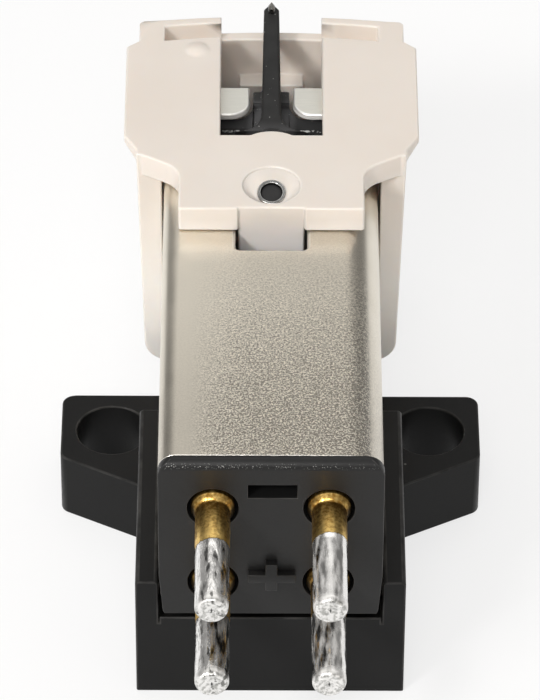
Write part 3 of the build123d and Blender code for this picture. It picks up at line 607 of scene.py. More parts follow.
# Painted shade: the moulding deeper than its rear face and below its top edge is painted nearly black, in
# the counterbores, the bar and along the sides in the cradle.
inside = spread(tree, axes["Y"], 0.0, 1.0, FACE_Y + 0.03 * MM, FACE_Y + 0.12 * MM)
recess_shade = times(tree, inside, spread(tree, axes["Z"], 1.0, 0.0, 11.45 * MM, 11.6 * MM))
shade = blend_colour(tree, recess_shade, shade, (0.0012, 0.0012, 0.0012))
feed(shader, roughness=times(tree, gloss, recess_shade, "MAXIMUM"))
# Painted glints: bright specks along the rounded top edge, stronger towards the left.
turned = add_node(
    tree, "ShaderNodeSeparateXYZ", {"Vector": add_node(tree, "ShaderNodeNewGeometry").outputs["Normal"]}
)
glint_band = times(
    tree,
    spread(tree, turned.outputs["Z"], 0.0, 1.0, 0.05, 0.25),
    spread(tree, turned.outputs["Z"], 1.0, 0.0, 0.55, 0.8),
)
glint_band = times(tree, glint_band, spread(tree, axes["Z"], 0.0, 1.0, 11.6 * MM, 11.7 * MM))
glint_band = times(tree, glint_band, spread(tree, axes["X"], 1.0, 0.55, -0.002, 0.004))
glints = use_group(tree, dust_and_glints, specks=16000.0, amount=0.8)
shade = blend_colour(tree, times(tree, glints["Mask"], glint_band), shade, (0.3, 0.3, 0.29))
feed(shader, base_color=shade)
plate = as_piece(welded("terminal_plate"), "plate_marks")
bar = bmesh.new()
add_box(bar, (-0.868 * MM, FACE_Y - 1 * MM, 10.465 * MM), (0.985 * MM, FACE_Y + 1 * MM, 11.115 * MM))
add_box(bar, (3.2 * MM, can_low[1] + 0.01 * MM, 11.1 * MM), (5 * MM, 0, 13 * MM))
add_box(bar, (-0.02, -0.02, 0), (0.02, can_low[1] - 0.01 * MM, can_low[2] + 0.75 * MM))
join_or_cut(plate, as_piece(bar, "bar"), "DIFFERENCE")


def convex(edge):
    """Only outward edges are rounded."""
    return 1.0 if edge.is_convex else 0.0


terminal = softened(reworked(plate), "terminal_moulding", 0.03 * MM, share=convex)
for vert in terminal.data.vertices:
    vert.co.y = max(vert.co.y, FACE_Y)
fit_piece(terminal, terminal_black, "cartridge_body", "terminal_plastic", "terminal_plate")

half_x = (-0.865, -0.2, 0.25, 0.94)
rows_z = (5.97, 6.38, 6.77, 7.3)
steps = [(1, 0), (2, 0), (2, 1), (3, 1), (3, 2), (2, 2), (2, 3), (1, 3), (1, 2), (0, 2), (0, 1), (1, 1)]
work = bmesh.new()
front = [work.verts.new((half_x[i] * MM, FACE_Y - 0.32 * MM, rows_z[j] * MM)) for i, j in steps]
back = [work.verts.new((half_x[i] * MM, FACE_Y + 0.05 * MM, rows_z[j] * MM)) for i, j in steps]
work.faces.new(front)
work.faces.new(reversed(back))
bridge(work, front, back)
bmesh.ops.recalc_face_normals(work, faces=work.faces)
cross = softened(work, "raised_cross", 0.025 * MM, share=convex, segments=2)
fit_piece(cross, terminal_black, "cartridge_body", "terminal_plastic")

# Terminal pins: four turned brass pins, gold-plated at the collar and tinned along the prong.
# The tin was run on by dipping, so it is rippled, and each end is a dished button of solder.
# They are pressed into the terminal plate from behind.

pin_low, pin_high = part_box("pin_left_return")
opposite_low, opposite_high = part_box("pin_right_signal")
COLUMN_GAP = opposite_low[0] - pin_low[0]
ROW_GAP = pin_low[2] - opposite_low[2]
PIN_MIDDLE = Vector((0, 0, (pin_low[2] + opposite_high[2]) / 2))
PRONG = 0.662 * MM
COLLAR = 0.84 * MM
COLLAR_TOP = FACE_Y - 0.03 * MM
STEM = 0.45 * MM
GOLD_END = -14.39 * MM

bright_tin, tree, shader = new_finish("gold and tin")
spot, axes = object_axes(tree)
drawn_out = add_node(tree, "ShaderNodeMapping", {"Vector": spot, "Scale": (1.0, 0.22, 1.0)})
streaks = add_node(
    tree, "ShaderNodeTexNoise", {"Vector": drawn_out.outputs[0], "Scale": 5200.0, "Detail": 4.0}
)
beads = add_node(tree, "ShaderNodeTexNoise", {"Vector": spot, "Scale": 7000.0, "Detail": 3.0})
slant = times(tree, axes["X"], 0.073)
wander = spread(tree, beads.outputs["Fac"], -0.00008, 0.00008)
line = times(tree, times(tree, axes["Y"], slant, "SUBTRACT"), wander, "ADD")
tinned = spread(tree, line, 0.0, 1.0, GOLD_END + 0.02 * MM, GOLD_END - 0.02 * MM)
lefthand = spread(tree, axes["X"], 1.0, 0.3, -0.0005, 0.0005)
collared = spread(tree, axes["Y"], 0.0, 1.0, COLLAR_TOP - 0.26 * MM, COLLAR_TOP - 0.2 * MM)
toward_tin = spread(tree, axes["Y"], -0.25, 0.55, COLLAR_TOP - 0.4 * MM, GOLD_END)
toward_tin = times(tree, toward_tin, spread(tree, collared, 1.0, 0.0))
mixed = times(tree, spread(tree, beads.outputs["Fac"], 0.0, 0.85, 0.35, 0.65), toward_tin, "ADD")
gold = blend_colour(tree, mixed, (0.42, 0.22, 0.045), (0.98, 0.68, 0.23))
tin = blend_colour(tree, streaks.outputs["Fac"], (0.76, 0.75, 0.73), (0.97, 0.96, 0.94))


def off_axis(axis, middle, gap):
    """How far a place is from the middle of the nearest pin, along one axis."""
    off = times(tree, axes[axis], middle, "SUBTRACT")
    side = add_node(tree, "ShaderNodeMath", {0: off}, operation="SIGN").outputs[0]
    return times(tree, off, times(tree, side, gap / 2), "SUBTRACT")


across = off_axis("X", 0.0, COLUMN_GAP)
above = off_axis("Z", PIN_MIDDLE.z, ROW_GAP)
# Painted shadow: the collar and the stem inside the counterbore are painted nearly black, all but the upper
# part of each collar.
painted_collar_shadow = times(tree, collared, spread(tree, above, 0.94, 0.0, 0.1 * MM, 0.5 * MM))
gold = blend_colour(tree, painted_collar_shadow, gold, (0.03, 0.018, 0.006))
# Painted shade: a small dark mark at the middle of each dished end.
narrow = add_node(tree, "ShaderNodeMath", {0: times(tree, across, 1 / (0.05 * MM))}, operation="ABSOLUTE")
tall = add_node(tree, "ShaderNodeMath", {0: times(tree, above, 1 / (0.13 * MM))}, operation="ABSOLUTE")
crater_shade = spread(tree, times(tree, narrow.outputs[0], tall.outputs[0], "ADD"), 1.0, 0.0, 0.6, 1.1)
ending = spread(tree, axes["Y"], 1.0, 0.0, pin_low[1] + 0.1 * MM, pin_low[1] + 0.2 * MM)
crazed = times(tree, spread(tree, beads.outputs["Fac"], 0.0, 0.75, 0.45, 0.62), ending)
# Painted reflection: dark streaks along the tin, stronger on the left-hand pins.
painted_streaks = times(tree, spread(tree, streaks.outputs["Fac"], 1.0, 0.0, 0.36, 0.43), lefthand)
tin = blend_colour(tree, times(tree, painted_streaks, 0.85), tin, (0.07, 0.07, 0.065))
tin = blend_colour(tree, crazed, tin, (0.3, 0.3, 0.28))
tin = blend_colour(tree, times(tree, crater_shade, ending), tin, (0.03, 0.03, 0.03))
feed(shader, base_color=blend_colour(tree, tinned, gold, tin))
near_end = spread(tree, axes["Y"], 0.22, 0.0, pin_low[1] + 0.35 * MM, pin_low[1] + 0.5 * MM)
sheen = times(tree, spread(tree, streaks.outputs["Fac"], 0.08, 0.2, 0.3, 0.7), near_end, "ADD")
feed(shader, roughness=times(tree, sheen, spread(tree, tinned, 0.2, 0.0), "ADD"))
film = times(tree, spread(tree, streaks.outputs["Fac"], 0.0, 0.4, 0.4, 0.65), tinned)
film = times(tree, film, spread(tree, lefthand, 1.25, 0.5, 0.3, 1.0))
feed(shader, metallic=spread(tree, film, 1.0, 0.0))
ripple = times(tree, times(tree, streaks.outputs["Fac"], lefthand), spread(tree, tinned, 0.5, 1.0))
feed(shader, normal=bump(tree, ripple, 0.7, 0.07 * MM))

# radius and place along the pin, from the solder tail to the dished end
tail, tip = pin_high[1], pin_low[1]
profile = [(0.0, tail), (STEM * 0.9, tail), (STEM, tail - 0.05 * MM), (STEM, FACE_Y + 0.45 * MM)]
collar_base = FACE_Y + 0.45 * MM
profile += [(COLLAR - 0.04 * MM, collar_base), (COLLAR, collar_base - 0.04 * MM)]
profile.append((COLLAR, COLLAR_TOP + 0.03 * MM))
crown = 0.23 * MM
for step in range(7):
    inward = step / 6
    drop = crown * (inward + 0.12 * math.sin(math.pi * inward))
    profile.append((COLLAR - 0.02 * MM + (PRONG + 0.02 * MM - COLLAR) * inward, COLLAR_TOP - drop))
shoulder = tip + 0.3 * MM
for step in range(1, 49):
    profile.append((PRONG, COLLAR_TOP - crown + (shoulder - COLLAR_TOP + crown) * step / 48))
for step in range(1, 9):
    turn = math.pi / 2 * step / 8
    profile.append((PRONG - 0.23 * MM * (1 - math.cos(turn)), shoulder - 0.3 * MM * math.sin(turn)))
for step in range(1, 7):
    inward = step / 6
    profile.append(((PRONG - 0.23 * MM) * (1 - inward), tip + 0.09 * MM * math.sin(math.pi / 2 * inward)))
work = bmesh.new()
line = [work.verts.new((radius, along, 0)) for radius, along in profile]
for first, second in zip(line, line[1:]):
    work.edges.new((first, second))
bmesh.ops.spin(
    work, geom=work.verts[:] + work.edges[:], cent=(0, 0, 0), axis=(0, 1, 0), angle=math.tau, steps=40
)
bmesh.ops.remove_doubles(work, verts=work.verts, dist=0.0005 * MM)
bmesh.ops.recalc_face_normals(work, faces=work.faces)

pin_setter, ends, results = new_maker(
    "pin setter",
    {
        "Column gap": (NUMBER, 0.004),
        "Row gap": (NUMBER, 0.004),
        "Middle": ("NodeSocketVector", (0, 0, 0)),
        "Ripple": (NUMBER, 0.00002),
        "Tin start": (NUMBER, -0.0146),
        "Seed": ("NodeSocketInt", 7),
        "Finish": ("NodeSocketMaterial", None),
    },
)
corners = add_node(
    pin_setter,
    "GeometryNodeMeshGrid",
    {
        "Size X": ends.outputs["Column gap"],
        "Size Y": ends.outputs["Row gap"],
        "Vertices X": 2,
        "Vertices Y": 2,
    },
)
upright = add_node(
    pin_setter,
    "GeometryNodeTransform",
    {
        "Geometry": corners.outputs["Mesh"],
        "Rotation": (math.pi / 2, 0, 0),
        "Translation": ends.outputs["Middle"],
    },
)
twist = add_node(
    pin_setter, "FunctionNodeRandomValue", {"Max": (0, math.tau, 0), "Seed": ends.outputs["Seed"]},
    data_type="FLOAT_VECTOR",
)
twist.inputs["Min"].default_value = (0, 0, 0)
placed = add_node(
    pin_setter,
    "GeometryNodeInstanceOnPoints",
    {
        "Points": upright.outputs[0],
        "Instance": ends.outputs["Geometry"],
        "Rotation": twist.outputs["Value"],
    },
)
real = add_node(pin_setter, "GeometryNodeRealizeInstances", {"Geometry": placed.outputs[0]})
where = add_node(pin_setter, "GeometryNodeInputPosition")
along = add_node(pin_setter, "ShaderNodeSeparateXYZ", {"Vector": where.outputs[0]})
drawn_out = add_node(
    pin_setter, "ShaderNodeVectorMath", {0: where.outputs[0], 1: (1.0, 0.3, 1.0)}, operation="MULTIPLY"
)
lumps = add_node(
    pin_setter, "ShaderNodeTexNoise", {"Vector": drawn_out.outputs[0], "Scale": 2300.0, "Detail": 2.0}
)
level = times(pin_setter, lumps.outputs["Fac"], 0.75, "SUBTRACT")
dipped = times(pin_setter, along.outputs["Y"], ends.outputs["Tin start"], "LESS_THAN")
push = times(pin_setter, times(pin_setter, level, ends.outputs["Ripple"]), dipped)
offset = add_node(
    pin_setter,
    "ShaderNodeVectorMath",
    {0: add_node(pin_setter, "GeometryNodeInputNormal").outputs[0], "Scale": push},
    operation="SCALE",
)
rippled = add_node(
    pin_setter, "GeometryNodeSetPosition", {"Geometry": real.outputs[0], "Offset": offset.outputs[0]}
)
dressed = add_node(
    pin_setter,
    "GeometryNodeSetMaterial",
    {"Geometry": rippled.outputs[0], "Material": ends.outputs["Finish"]},
)
pin_setter.links.new(dressed.outputs[0], results.inputs[0])

pins = as_piece(work, "terminal_pins")
run_maker(
    pins,
    pin_setter,
    column_gap=COLUMN_GAP,
    row_gap=ROW_GAP,
    middle=PIN_MIDDLE,
    ripple=0.06 * MM,
    tin_start=GOLD_END,
    seed=7,
    finish=bright_tin,
)
pins.data.shade_smooth()
fit_piece(
    pins,
    bright_tin,
    "cartridge_body",
    "pin_plated",
    *[f"pin_{side}_{row}" for side in ("left", "right") for row in ("return", "signal")],
)

# Stylus holder: the ivory ABS moulding that pulls off with the stylus, glossy on soft rounded edges.
# Its tongue lies on the can, its key runs in the can's notch, and its side walls are the finger grips.

holder_ivory, tree, shader = new_finish(
    "ivory moulding",
    subsurface_weight=0.2,
    subsurface_scale=0.0005,
    subsurface_radius=(1.0, 0.75, 0.55),
    specular_ior_level=0.5,
)
grain = use_group(tree, mould_grain, grain=6500.0, mottle=260.0)
wear_and_glint = use_group(tree, edge_wear_and_glint, patches=700.0, least=0.5)
shade = blend_colour(tree, spread(tree, grain["Mottle"], 0.0, 1.0, 0.3, 0.7),
                     (0.77, 0.7, 0.63), (0.8, 0.735, 0.67))
spot, axes = object_axes(tree)
# Painted light: the moulding is painted paler towards the bottom.
painted_low_light = spread(tree, axes["Z"], 1.0, 0.0, 6.5 * MM, 11.5 * MM)
shade = blend_colour(tree, painted_low_light, shade, (0.9, 0.865, 0.83))
# Painted light: the key's face and the tongue's rear face below its top edge are painted paler.
painted_key_light = times(
    tree,
    spread(tree, axes["Y"], 1.0, 0.0, 1.55 * MM, 1.75 * MM),
    spread(tree, axes["Z"], 1.0, 0.0, 11.6 * MM, 12.8 * MM),
)
shade = blend_colour(tree, painted_key_light, shade, (0.95, 0.895, 0.86))
# Rounded edges are painted paler in patches: wear, with a painted highlight.
shade = blend_colour(tree, times(tree, wear_and_glint["Mask"], 0.5), shade, (0.86, 0.8, 0.74))
feed(shader, base_color=shade)
feed(shader, roughness=spread(tree, grain["Grain"], 0.3, 0.4, 0.3, 0.7))
feed(shader, normal=bump(tree, grain["Grain"], 0.2, 0.003 * MM))


DOT = Vector((-3.01, 11.5, 13.33)) * MM
SLOT_HALF = 2.04 * MM


def holder_rounding(edge):
    """The horns, the dot's rim and the lip's thin ends stay as moulded; every other edge is rounded."""
    horn = all(abs(end.co.x) > 5.1 * MM and end.co.y > 13.05 * MM for end in edge.verts)
    dot = all((end.co - DOT).length < 0.7 * MM for end in edge.verts)
    beside_slot = all(abs(abs(end.co.x) - SLOT_HALF) < 0.02 * MM for end in edge.verts)
    ahead = all(end.co.y > 12.2 * MM for end in edge.verts)
    low = any(12.45 * MM < end.co.z < 12.6 * MM for end in edge.verts)
    return 0.0 if horn or dot or (beside_slot and ahead and low) else 1.0


holder = softened(welded("stylus_holder"), "holder_moulding", 0.08 * MM, share=holder_rounding)
fit_piece(holder, holder_ivory, "stylus_assembly", "holder_ivory", "stylus_holder")

# hollow between the well's wall and the leaning sleeve
WELL_STEPS = 96
LEAN = math.radians(19)
leaning = Matrix.Translation((0, 2.66 * MM, 13.15 * MM)) @ Matrix.Rotation(LEAN, 4, "X")
work = bmesh.new()
rings = [[] for step in range(12)]
for spot in range(WELL_STEPS):
    turn = math.tau * spot / WELL_STEPS
    wall = Vector((1.118 * math.cos(turn), 2.88 + 1.118 * math.sin(turn), 13.255)) * MM
    foot_place = leaning @ (Vector((0.55 * math.cos(turn), 0.55 * math.sin(turn), -0.09)) * MM)
    foot_place.z = max(foot_place.z, 12.915 * MM)
    for step in range(10):
        share = step / 9
        place = wall.lerp(foot_place, share)
        place.z = wall.z + (foot_place.z - wall.z) * math.sin(share * math.pi / 2)
        rings[step].append(work.verts.new(place))
    for step, above in ((10, foot_place), (11, wall)):
        rings[step].append(work.verts.new((above.x, above.y, 12.905 * MM)))
for first, second in zip(rings, rings[1:] + rings[:1]):
    bridge(work, first, second)
bmesh.ops.recalc_face_normals(work, faces=work.faces)
dish = as_piece(work, "well_hollow")
dish.data.shade_smooth()
dish.data.set_sharp_from_angle(angle=math.radians(50))
fit_piece(dish, holder_ivory, "stylus_assembly", "holder_ivory")

# Clamp sleeve and tension tube: a turned metal sleeve pressed into the holder's well,
# which grips the thin tube that the stylus hangs from.

sleeve_metal, tree, shader = new_finish("sleeve metal", metallic=1.0)
grain = use_group(tree, mould_grain, grain=9000.0, mottle=1500.0)
wear_and_glint = use_group(tree, edge_wear_and_glint, patches=3000.0, least=0.2)
shade = blend_colour(tree, grain["Mottle"], (0.12, 0.12, 0.12), (0.3, 0.3, 0.29))
# Painted highlight: the rounded rims are painted bright in patches, with some wear.
shade = blend_colour(tree, times(tree, wear_and_glint["Mask"], 0.7), shade, (0.75, 0.75, 0.73))
feed(shader, base_color=shade)
feed(shader, roughness=spread(tree, grain["Grain"], 0.16, 0.3))
feed(shader, normal=bump(tree, grain["Grain"], 0.4, 0.006 * MM))
sleeve = softened(welded("clamp_sleeve"), "sleeve_turning", 0.045 * MM)
fit_piece(sleeve, sleeve_metal, "stylus_assembly", "sleeve_metal", "clamp_sleeve")

tube_aluminium, tree, shader = new_finish("tube aluminium", metallic=1.0)
spot = add_node(tree, "ShaderNodeTexCoord").outputs["Object"]
drawn_out = add_node(tree, "ShaderNodeMapping", {"Vector": spot, "Scale": (1.0, 0.1, 1.0)})
draw_lines = add_node(
    tree, "ShaderNodeTexNoise", {"Vector": drawn_out.outputs[0], "Scale": 14000.0, "Detail": 2.0}
)
shade = blend_colour(tree, draw_lines.outputs["Fac"], (0.6, 0.6, 0.61), (0.8, 0.8, 0.8))
feed(shader, base_color=shade)
feed(shader, roughness=spread(tree, draw_lines.outputs["Fac"], 0.22, 0.36))
feed(shader, normal=bump(tree, draw_lines.outputs["Fac"], 0.3, 0.004 * MM))
tube = softened(welded("tension_tube"), "tube_drawing", 0.02 * MM, segments=2)
fit_piece(tube, tube_aluminium, "stylus_assembly", "tube_aluminium", "tension_tube")

# Tie wire: fine spring-steel wire that holds the cantilever back against its damper.
# It is anchored in the tension tube, bends inside the damper and ends in the cantilever's hub.

wire_steel, tree, shader = new_finish("tie wire steel", metallic=1.0)
grain = use_group(tree, mould_grain, grain=20000.0, mottle=4000.0)
shade = blend_colour(tree, grain["Mottle"], (0.4, 0.4, 0.41), (0.62, 0.62, 0.62))
feed(shader, base_color=shade)
feed(shader, roughness=spread(tree, grain["Grain"], 0.2, 0.34))
PIVOT = Vector((0, 7.2, 11.41)) * MM


def along_rod(x, along, rise):
    """A place given in millimetres across, along and above the leaning rod's axis."""
    return PIVOT + Matrix.Rotation(LEAN, 3, "X") @ Vector((x, along, rise)) * MM


def skinned(rings, work):
    """Faces between neighbouring rings of points, and a cap on the first and the last."""
    for first, second in zip(rings, rings[1:]):
        bridge(work, first, second)
    work.faces.new(rings[0])
    work.faces.new(rings[-1])
    bmesh.ops.recalc_face_normals(work, faces=work.faces)


def wire_run(stations, name):
    """A length of the round wire through places along the suspension's axis."""
    work = bmesh.new()
    rings = []
    for along in stations:
        turns = [math.tau * step / 20 for step in range(20)]
        places = [along_rod(0.07 * math.cos(turn), along, 0.07 * math.sin(turn)) for turn in turns]
        rings.append([work.verts.new(place) for place in places])
    skinned(rings, work)
    run = as_piece(work, name)
    run.data.shade_smooth()
    run.data.set_sharp_from_angle(angle=math.radians(50))
    run.data.materials.append(wire_steel)
    return run


bending = [0.05 * step - 0.006 for step in range(-14, 1)]
anchored = wire_run([-5.78, -4, -2, -1] + bending, "tie_wire_anchored")
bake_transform(anchored)
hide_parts("tie_wire")
hub_end = wire_run([0, 0.4, 0.8, 1.1], "tie_wire_hub_end")
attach(hub_end, "cantilever_assembly")

# Damper: a soft black rubber ring between the tension tube and the cantilever's hub.
# A plug of the same rubber closes the bore of the clamp sleeve.

damper_rubber, tree, shader = new_finish("damper rubber", specular_ior_level=0.35)
grain = use_group(tree, mould_grain, grain=11000.0, mottle=1800.0)
specks = use_group(tree, dust_and_glints, specks=6000.0, amount=0.05)
shade = blend_colour(tree, grain["Mottle"], (0.012, 0.012, 0.013), (0.028, 0.027, 0.027))
shade = blend_colour(tree, times(tree, specks["Mask"], 0.5), shade, (0.2, 0.19, 0.18))
feed(shader, base_color=shade)
feed(shader, roughness=spread(tree, grain["Grain"], 0.55, 0.75))
feed(shader, normal=bump(tree, grain["Grain"], 0.5, 0.006 * MM))
damper = softened(welded("suspension_damper"), "damper_ring", 0.06 * MM)
damper.data.materials.append(damper_rubber)
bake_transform(damper)
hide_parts("suspension_damper")
work = bmesh.new()
bmesh.ops.create_uvsphere(work, u_segments=48, v_segments=24, radius=1)
flattened = Matrix.Translation((0, 0, -0.15 * MM)) @ Matrix.Diagonal((0.415 * MM, 0.415 * MM, 0.07 * MM, 1))
bmesh.ops.transform(work, matrix=leaning @ flattened, verts=work.verts)
plug = as_piece(work, "sleeve_plug")
plug.data.shade_smooth()
fit_piece(plug, damper_rubber, "stylus_assembly", "damper_rubber")

# Cantilever: a black carbon-filled moulding, its rod growing out of a forked root that holds the magnets.
# It is matt, with pale dust caught on its upper side, painted light on its lower root and a broken line of
# painted glints along its arms.

cantilever_black, tree, shader = new_finish("cantilever black", specular_ior_level=0.14)
grain = use_group(tree, mould_grain, grain=12000.0, mottle=1500.0)
wear_and_glint = use_group(tree, edge_wear_and_glint, patches=3500.0, least=0.3)
specks = use_group(tree, dust_and_glints, specks=14000.0, amount=0.06)
shade = blend_colour(tree, grain["Mottle"], (0.018, 0.018, 0.018), (0.034, 0.034, 0.034))
spot, axes = object_axes(tree)
# Painted light: the lower root is painted paler; on the arms less so towards the right and near their rear
# edge, which are left in painted shade.
painted_root_light = spread(tree, axes["Z"], 0.85, 0.0, 11.9 * MM, 12.2 * MM)
outward = add_node(tree, "ShaderNodeMath", {0: axes["X"]}, operation="ABSOLUTE").outputs[0]
arm = spread(tree, outward, 0.0, 1.0, 0.85 * MM, 1.05 * MM)
arm_shade = times(
    tree,
    spread(tree, axes["X"], 0.3, 0.75, -0.9 * MM, 0.9 * MM),
    spread(tree, axes["Y"], 0.9, 0.0, 8.72 * MM, 8.86 * MM),
    "MAXIMUM",
)
painted_root_light = times(tree, painted_root_light, spread(tree, times(tree, arm, arm_shade), 1.0, 0.0))
shade = blend_colour(tree, painted_root_light, shade, (0.1, 0.1, 0.103))
beads = use_group(tree, mould_grain, grain=12000.0, mottle=5500.0)
# Painted glints: a broken line of near-white along the arms, close to their rear edge.
glint_line = times(
    tree,
    spread(tree, axes["Y"], 0.0, 1.0, 8.59 * MM, 8.63 * MM),
    spread(tree, axes["Y"], 1.0, 0.0, 8.68 * MM, 8.72 * MM),
)
arm_glints = times(tree, times(tree, glint_line, arm), spread(tree, beads["Mottle"], 0.0, 0.9, 0.46, 0.6))
# Rounded edges are painted paler in patches: wear, with a painted highlight.
shade = blend_colour(tree, times(tree, wear_and_glint["Mask"], 0.35), shade, (0.1, 0.1, 0.1))
shade = blend_colour(tree, times(tree, specks["Mask"], 0.7), shade, (0.3, 0.3, 0.29))
shade = blend_colour(tree, arm_glints, shade, (0.85, 0.85, 0.83))
feed(shader, base_color=shade)
feed(shader, roughness=spread(tree, grain["Grain"], 0.36, 0.52))
feed(shader, normal=bump(tree, grain["Grain"], 0.5, 0.006 * MM))
root = as_piece(welded("cantilever"), "root_blank")
for rear, front, underside in ((0.9, 2.44, -0.49), (2.3, 9, -0.09), (3.03, 9, -2)):
    cutter = bmesh.new()
    add_box(cutter, (-2.7, rear, underside), (2.7, front, 2))
    for vert in cutter.verts:
        vert.co = along_rod(*vert.co)
    join_or_cut(root, as_piece(cutter, "cutter"), "DIFFERENCE")
root = softened(reworked(root), "cantilever_root", 0.05 * MM, segments=2)
fit_piece(root, cantilever_black, "cantilever_assembly", "cantilever_black", "cantilever")

# place along the rod, half its width and the rounding of its upper edges
BELL_WIDE = 1.1
BELL_LONG = 0.9
stations = []
for step in range(9):
    turn = math.pi / 2 * step / 8
    width = 0.4 + BELL_WIDE * (1 - math.sin(turn))
    stations.append((1.72 - BELL_LONG * math.cos(turn), width, 0.16 + 0.12 * (1 - math.sin(turn))))
stations += [(along, 0.42 - 0.0158 * along, 0.16) for along in (2.2, 3.2, 4.4, 5.6, 6.3)]
stations += [(6.78, 0.31, 0.14), (6.95, 0.14, 0.1)]
work = bmesh.new()
rings = []
for along, width, edge_round in stations:
    half_height = 0.4 - 0.0201 * along
    section = [(-width, -half_height)]
    for side, first in ((-1, 180), (1, 90)):
        for step in range(6):
            turn = math.radians(first - 90 * step / 5)
            section.append(
                (
                    side * (width - edge_round) + edge_round * math.cos(turn),
                    half_height - edge_round + edge_round * math.sin(turn),
                )
            )
    section.append((width, -half_height))
    rings.append([work.verts.new(along_rod(x, along, rise)) for x, rise in section])
skinned(rings, work)
rod = softened(work, "cantilever_rod", 0.02 * MM, angle=40, segments=2)
fit_piece(rod, cantilever_black, "cantilever_assembly", "cantilever_black")

# Magnets: two short sintered rods, dark and finely grained, one for each channel.
# They are pressed into the cantilever's root from below.

magnet_dark, tree, shader = new_finish("sintered magnet", metallic=0.7)
grain = use_group(tree, mould_grain, grain=8000.0, mottle=2200.0)
shade = blend_colour(tree, grain["Mottle"], (0.1, 0.1, 0.105), (0.2, 0.2, 0.205))
feed(shader, base_color=shade)
feed(shader, roughness=spread(tree, grain["Grain"], 0.38, 0.58))
feed(shader, normal=bump(tree, grain["Grain"], 0.5, 0.006 * MM))
for side in ("left", "right"):
    rod_magnet = softened(welded(f"magnet_{side}"), f"magnet_rod_{side}", 0.03 * MM, segments=2)
    fit_piece(rod_magnet, magnet_dark, "cantilever_assembly", "magnet_dark", f"magnet_{side}")

# Stylus: a metal shank pressed through the rod's end, with a conical diamond bonded to it.
# The shank is cut from wire, and the diamond is ground to a point.

shank_metal, tree, shader = new_finish("shank metal", metallic=1.0)
grain = use_group(tree, mould_grain, grain=16000.0, mottle=3000.0)
shade = blend_colour(tree, grain["Mottle"], (0.1, 0.1, 0.1), (0.2, 0.2, 0.2))
feed(shader, base_color=shade)
feed(shader, roughness=spread(tree, grain["Grain"], 0.2, 0.36))
shank = softened(welded("stylus_shank"), "shank_pin", 0.02 * MM, segments=2)
fit_piece(shank, shank_metal, "cantilever_assembly", "shank_metal", "stylus_shank")

tip_diamond, tree, shader = new_finish("tip diamond", ior=2.2, coat_weight=0.4, coat_roughness=0.05)
grain = use_group(tree, mould_grain, grain=20000.0, mottle=5000.0)
shade = blend_colour(tree, grain["Mottle"], (0.06, 0.06, 0.06), (0.14, 0.14, 0.13))
feed(shader, base_color=shade)
feed(shader, roughness=spread(tree, grain["Grain"], 0.1, 0.22))
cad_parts["diamond_tip"].data.materials.clear()
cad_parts["diamond_tip"].data.materials.append(tip_diamond)

# Guide plates: two bent tabs of nickel-plated sheet that stand beside the rod and carry the flux.
# Their sheared sides are painted nearly white and less metallic as a painted highlight, and their rounded
# edges carry a ragged painted glint with wear.

guide_metal, tree, shader = new_finish("guide plating")
spot, axes = object_axes(tree)
# Painted highlight: below the top face the sides are painted nearly white and made less metallic.
painted_bright_sides = spread(tree, axes["Z"], 1.0, 0.0, 12.16 * MM, 12.26 * MM)
drawn_out = add_node(tree, "ShaderNodeMapping", {"Vector": spot, "Scale": (0.15, 1.0, 1.0)})
brushing = add_node(
    tree, "ShaderNodeTexNoise", {"Vector": drawn_out.outputs[0], "Scale": 9000.0, "Detail": 3.0}
)
wear_and_glint = use_group(tree, edge_wear_and_glint, patches=4500.0, least=0.3)
shade = blend_colour(tree, brushing.outputs["Fac"], (0.84, 0.835, 0.77), (0.95, 0.94, 0.87))
# Rounded edges are painted brighter in patches: a painted glint, with wear.
shade = blend_colour(tree, wear_and_glint["Mask"], shade, (0.96, 0.95, 0.93))
shade = blend_colour(tree, painted_bright_sides, shade, (0.95, 0.94, 0.91))
feed(shader, base_color=shade)
feed(shader, metallic=spread(tree, painted_bright_sides, 1.0, 0.15))
feed(shader, roughness=spread(tree, brushing.outputs["Fac"], 0.36, 0.48))
feed(shader, normal=bump(tree, brushing.outputs["Fac"], 0.25, 0.004 * MM))
for side in ("left", "right"):
    guide = softened(welded(f"guide_plate_{side}"), f"guide_tab_{side}", 0.09 * MM, segments=4)
    fit_piece(guide, guide_metal, "stylus_assembly", "guide_metal", f"guide_plate_{side}")

# Studio: a white floor under the part, a bright panel overhead and four softboxes on the camera's side.
# The air ahead is dark between the panel and the floor, which draws bands along the can's edges; more bands
# are painted into the can's tone.

low, high = cad_box
work = bmesh.new()
bmesh.ops.create_grid(
    work, x_segments=1, y_segments=1, size=2.0, matrix=Matrix.Translation((0, 0, low[2] - 0.02 * MM))
)
floor = as_piece(work, "floor")
floor_white = bpy.data.materials.new("floor white")
floor_white.use_nodes = True
tree = floor_white.node_tree
tree.nodes.clear()
matt = add_node(tree, "ShaderNodeBsdfDiffuse", {"Color": (0.93, 0.93, 0.93, 1)})
glow = add_node(tree, "ShaderNodeEmission", {"Color": (1, 1, 1, 1), "Strength": 1.0})
ray = add_node(tree, "ShaderNodeLightPath")
seen = times(tree, ray.outputs["Is Camera Ray"], ray.outputs["Is Glossy Ray"], "MAXIMUM")
seen = times(tree, seen, ray.outputs["Is Transmission Ray"], "MAXIMUM")
lit = add_node(
    tree, "ShaderNodeMixShader", {0: times(tree, seen, 0.72), 1: matt.outputs[0], 2: glow.outputs[0]}
)
add_node(tree, "ShaderNodeOutputMaterial", {"Surface": lit.outputs[0]})
floor.data.materials.append(floor_white)

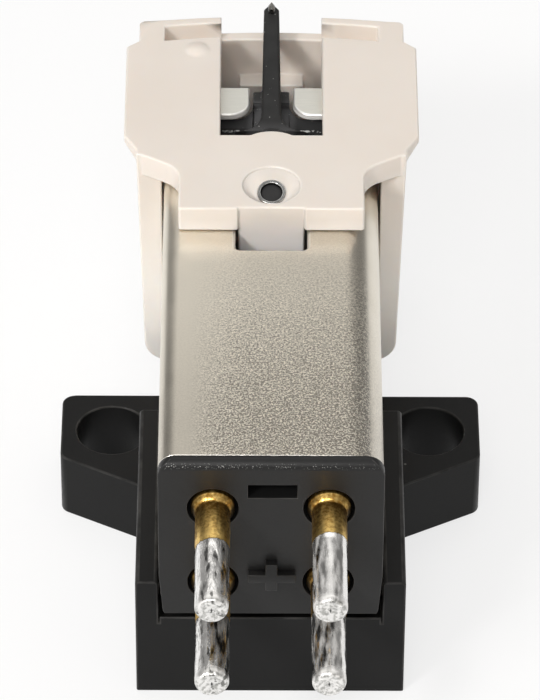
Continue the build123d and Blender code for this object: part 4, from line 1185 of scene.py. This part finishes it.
air = bpy.data.worlds.new("studio air")
air.use_nodes = True
tree = air.node_tree
tree.nodes.clear()
aim = add_node(tree, "ShaderNodeTexCoord").outputs["Generated"]
axes = add_node(tree, "ShaderNodeSeparateXYZ", {"Vector": aim}).outputs
overhead = add_node(
    tree,
    "ShaderNodeMapRange",
    {"Value": axes["Z"], "From Min": 0.56, "From Max": 0.8, "To Min": 0.0, "To Max": 1.0},
    interpolation_type="SMOOTHSTEP",
).outputs["Result"]
behind = spread(tree, axes["Y"], 0.2, 0.24, -0.6, 0.1)
panel = spread(tree, axes["Y"], 0.25, 1.45, -0.5, 0.6)
level = add_node(tree, "ShaderNodeMix", {"Factor": overhead, 2: behind, 3: panel}).outputs[0]
sky = add_node(tree, "ShaderNodeBackground", {"Color": (1.0, 0.985, 0.965, 1), "Strength": level})
plain = add_node(tree, "ShaderNodeBackground", {"Color": (1, 1, 1, 1), "Strength": 1.0})
camera_ray = add_node(tree, "ShaderNodeLightPath").outputs["Is Camera Ray"]
both = add_node(tree, "ShaderNodeMixShader", {0: camera_ray, 1: sky.outputs[0], 2: plain.outputs[0]})
add_node(tree, "ShaderNodeOutputWorld", {"Surface": both.outputs[0]})
scene.world = air


def softbox(name, place, aim, size, power, colour):
    """A square area lamp that faces the part."""
    lamp = bpy.data.lights.new(name, "AREA")
    lamp.size = size
    lamp.energy = power
    lamp.color = colour
    stand = bpy.data.objects.new(name, lamp)
    stand.location = place
    stand.rotation_euler = (Vector(aim) - Vector(place)).to_track_quat("-Z", "Y").to_euler()
    scene.collection.objects.link(stand)


centre = (Vector(low) + Vector(high)) / 2
softbox("key softbox", (-0.26, -0.33, 0.34), centre, 0.1, 1.42, (1.0, 0.985, 0.97))
softbox("front fill", (-0.03, -0.34, 0.37), centre, 0.2, 0.64, (1.0, 0.985, 0.97))
softbox("low fill", (-0.45, -0.28, 0.1), centre, 0.2, 0.2, (1.0, 0.985, 0.97))
softbox("right fill", (0.3, -0.36, 0.12), centre, 0.2, 0.2, (1.0, 0.97, 0.92))

# Camera: a long lens above the pins, looking down along the can to the stylus.

LENS_PIXELS = 5480
lens = bpy.data.cameras.new("camera")
lens.sensor_fit = "AUTO"
lens.sensor_width = 36
lens.lens = LENS_PIXELS * 36 / 700
lens.clip_start = 0.01
lens.clip_end = 20
turn = Matrix.Rotation(math.radians(-0.2), 3, "Z") @ Matrix.Rotation(math.radians(49), 3, "X")
turn = turn @ Matrix.Rotation(math.radians(0.33), 3, "Z")
camera = bpy.data.objects.new("camera", lens)
camera.matrix_world = Matrix.Translation(turn @ Vector((0, 0.0054455, 0.2221))) @ turn.to_4x4()
scene.collection.objects.link(camera)
scene.camera = camera
scene.view_settings.view_transform = "Standard"
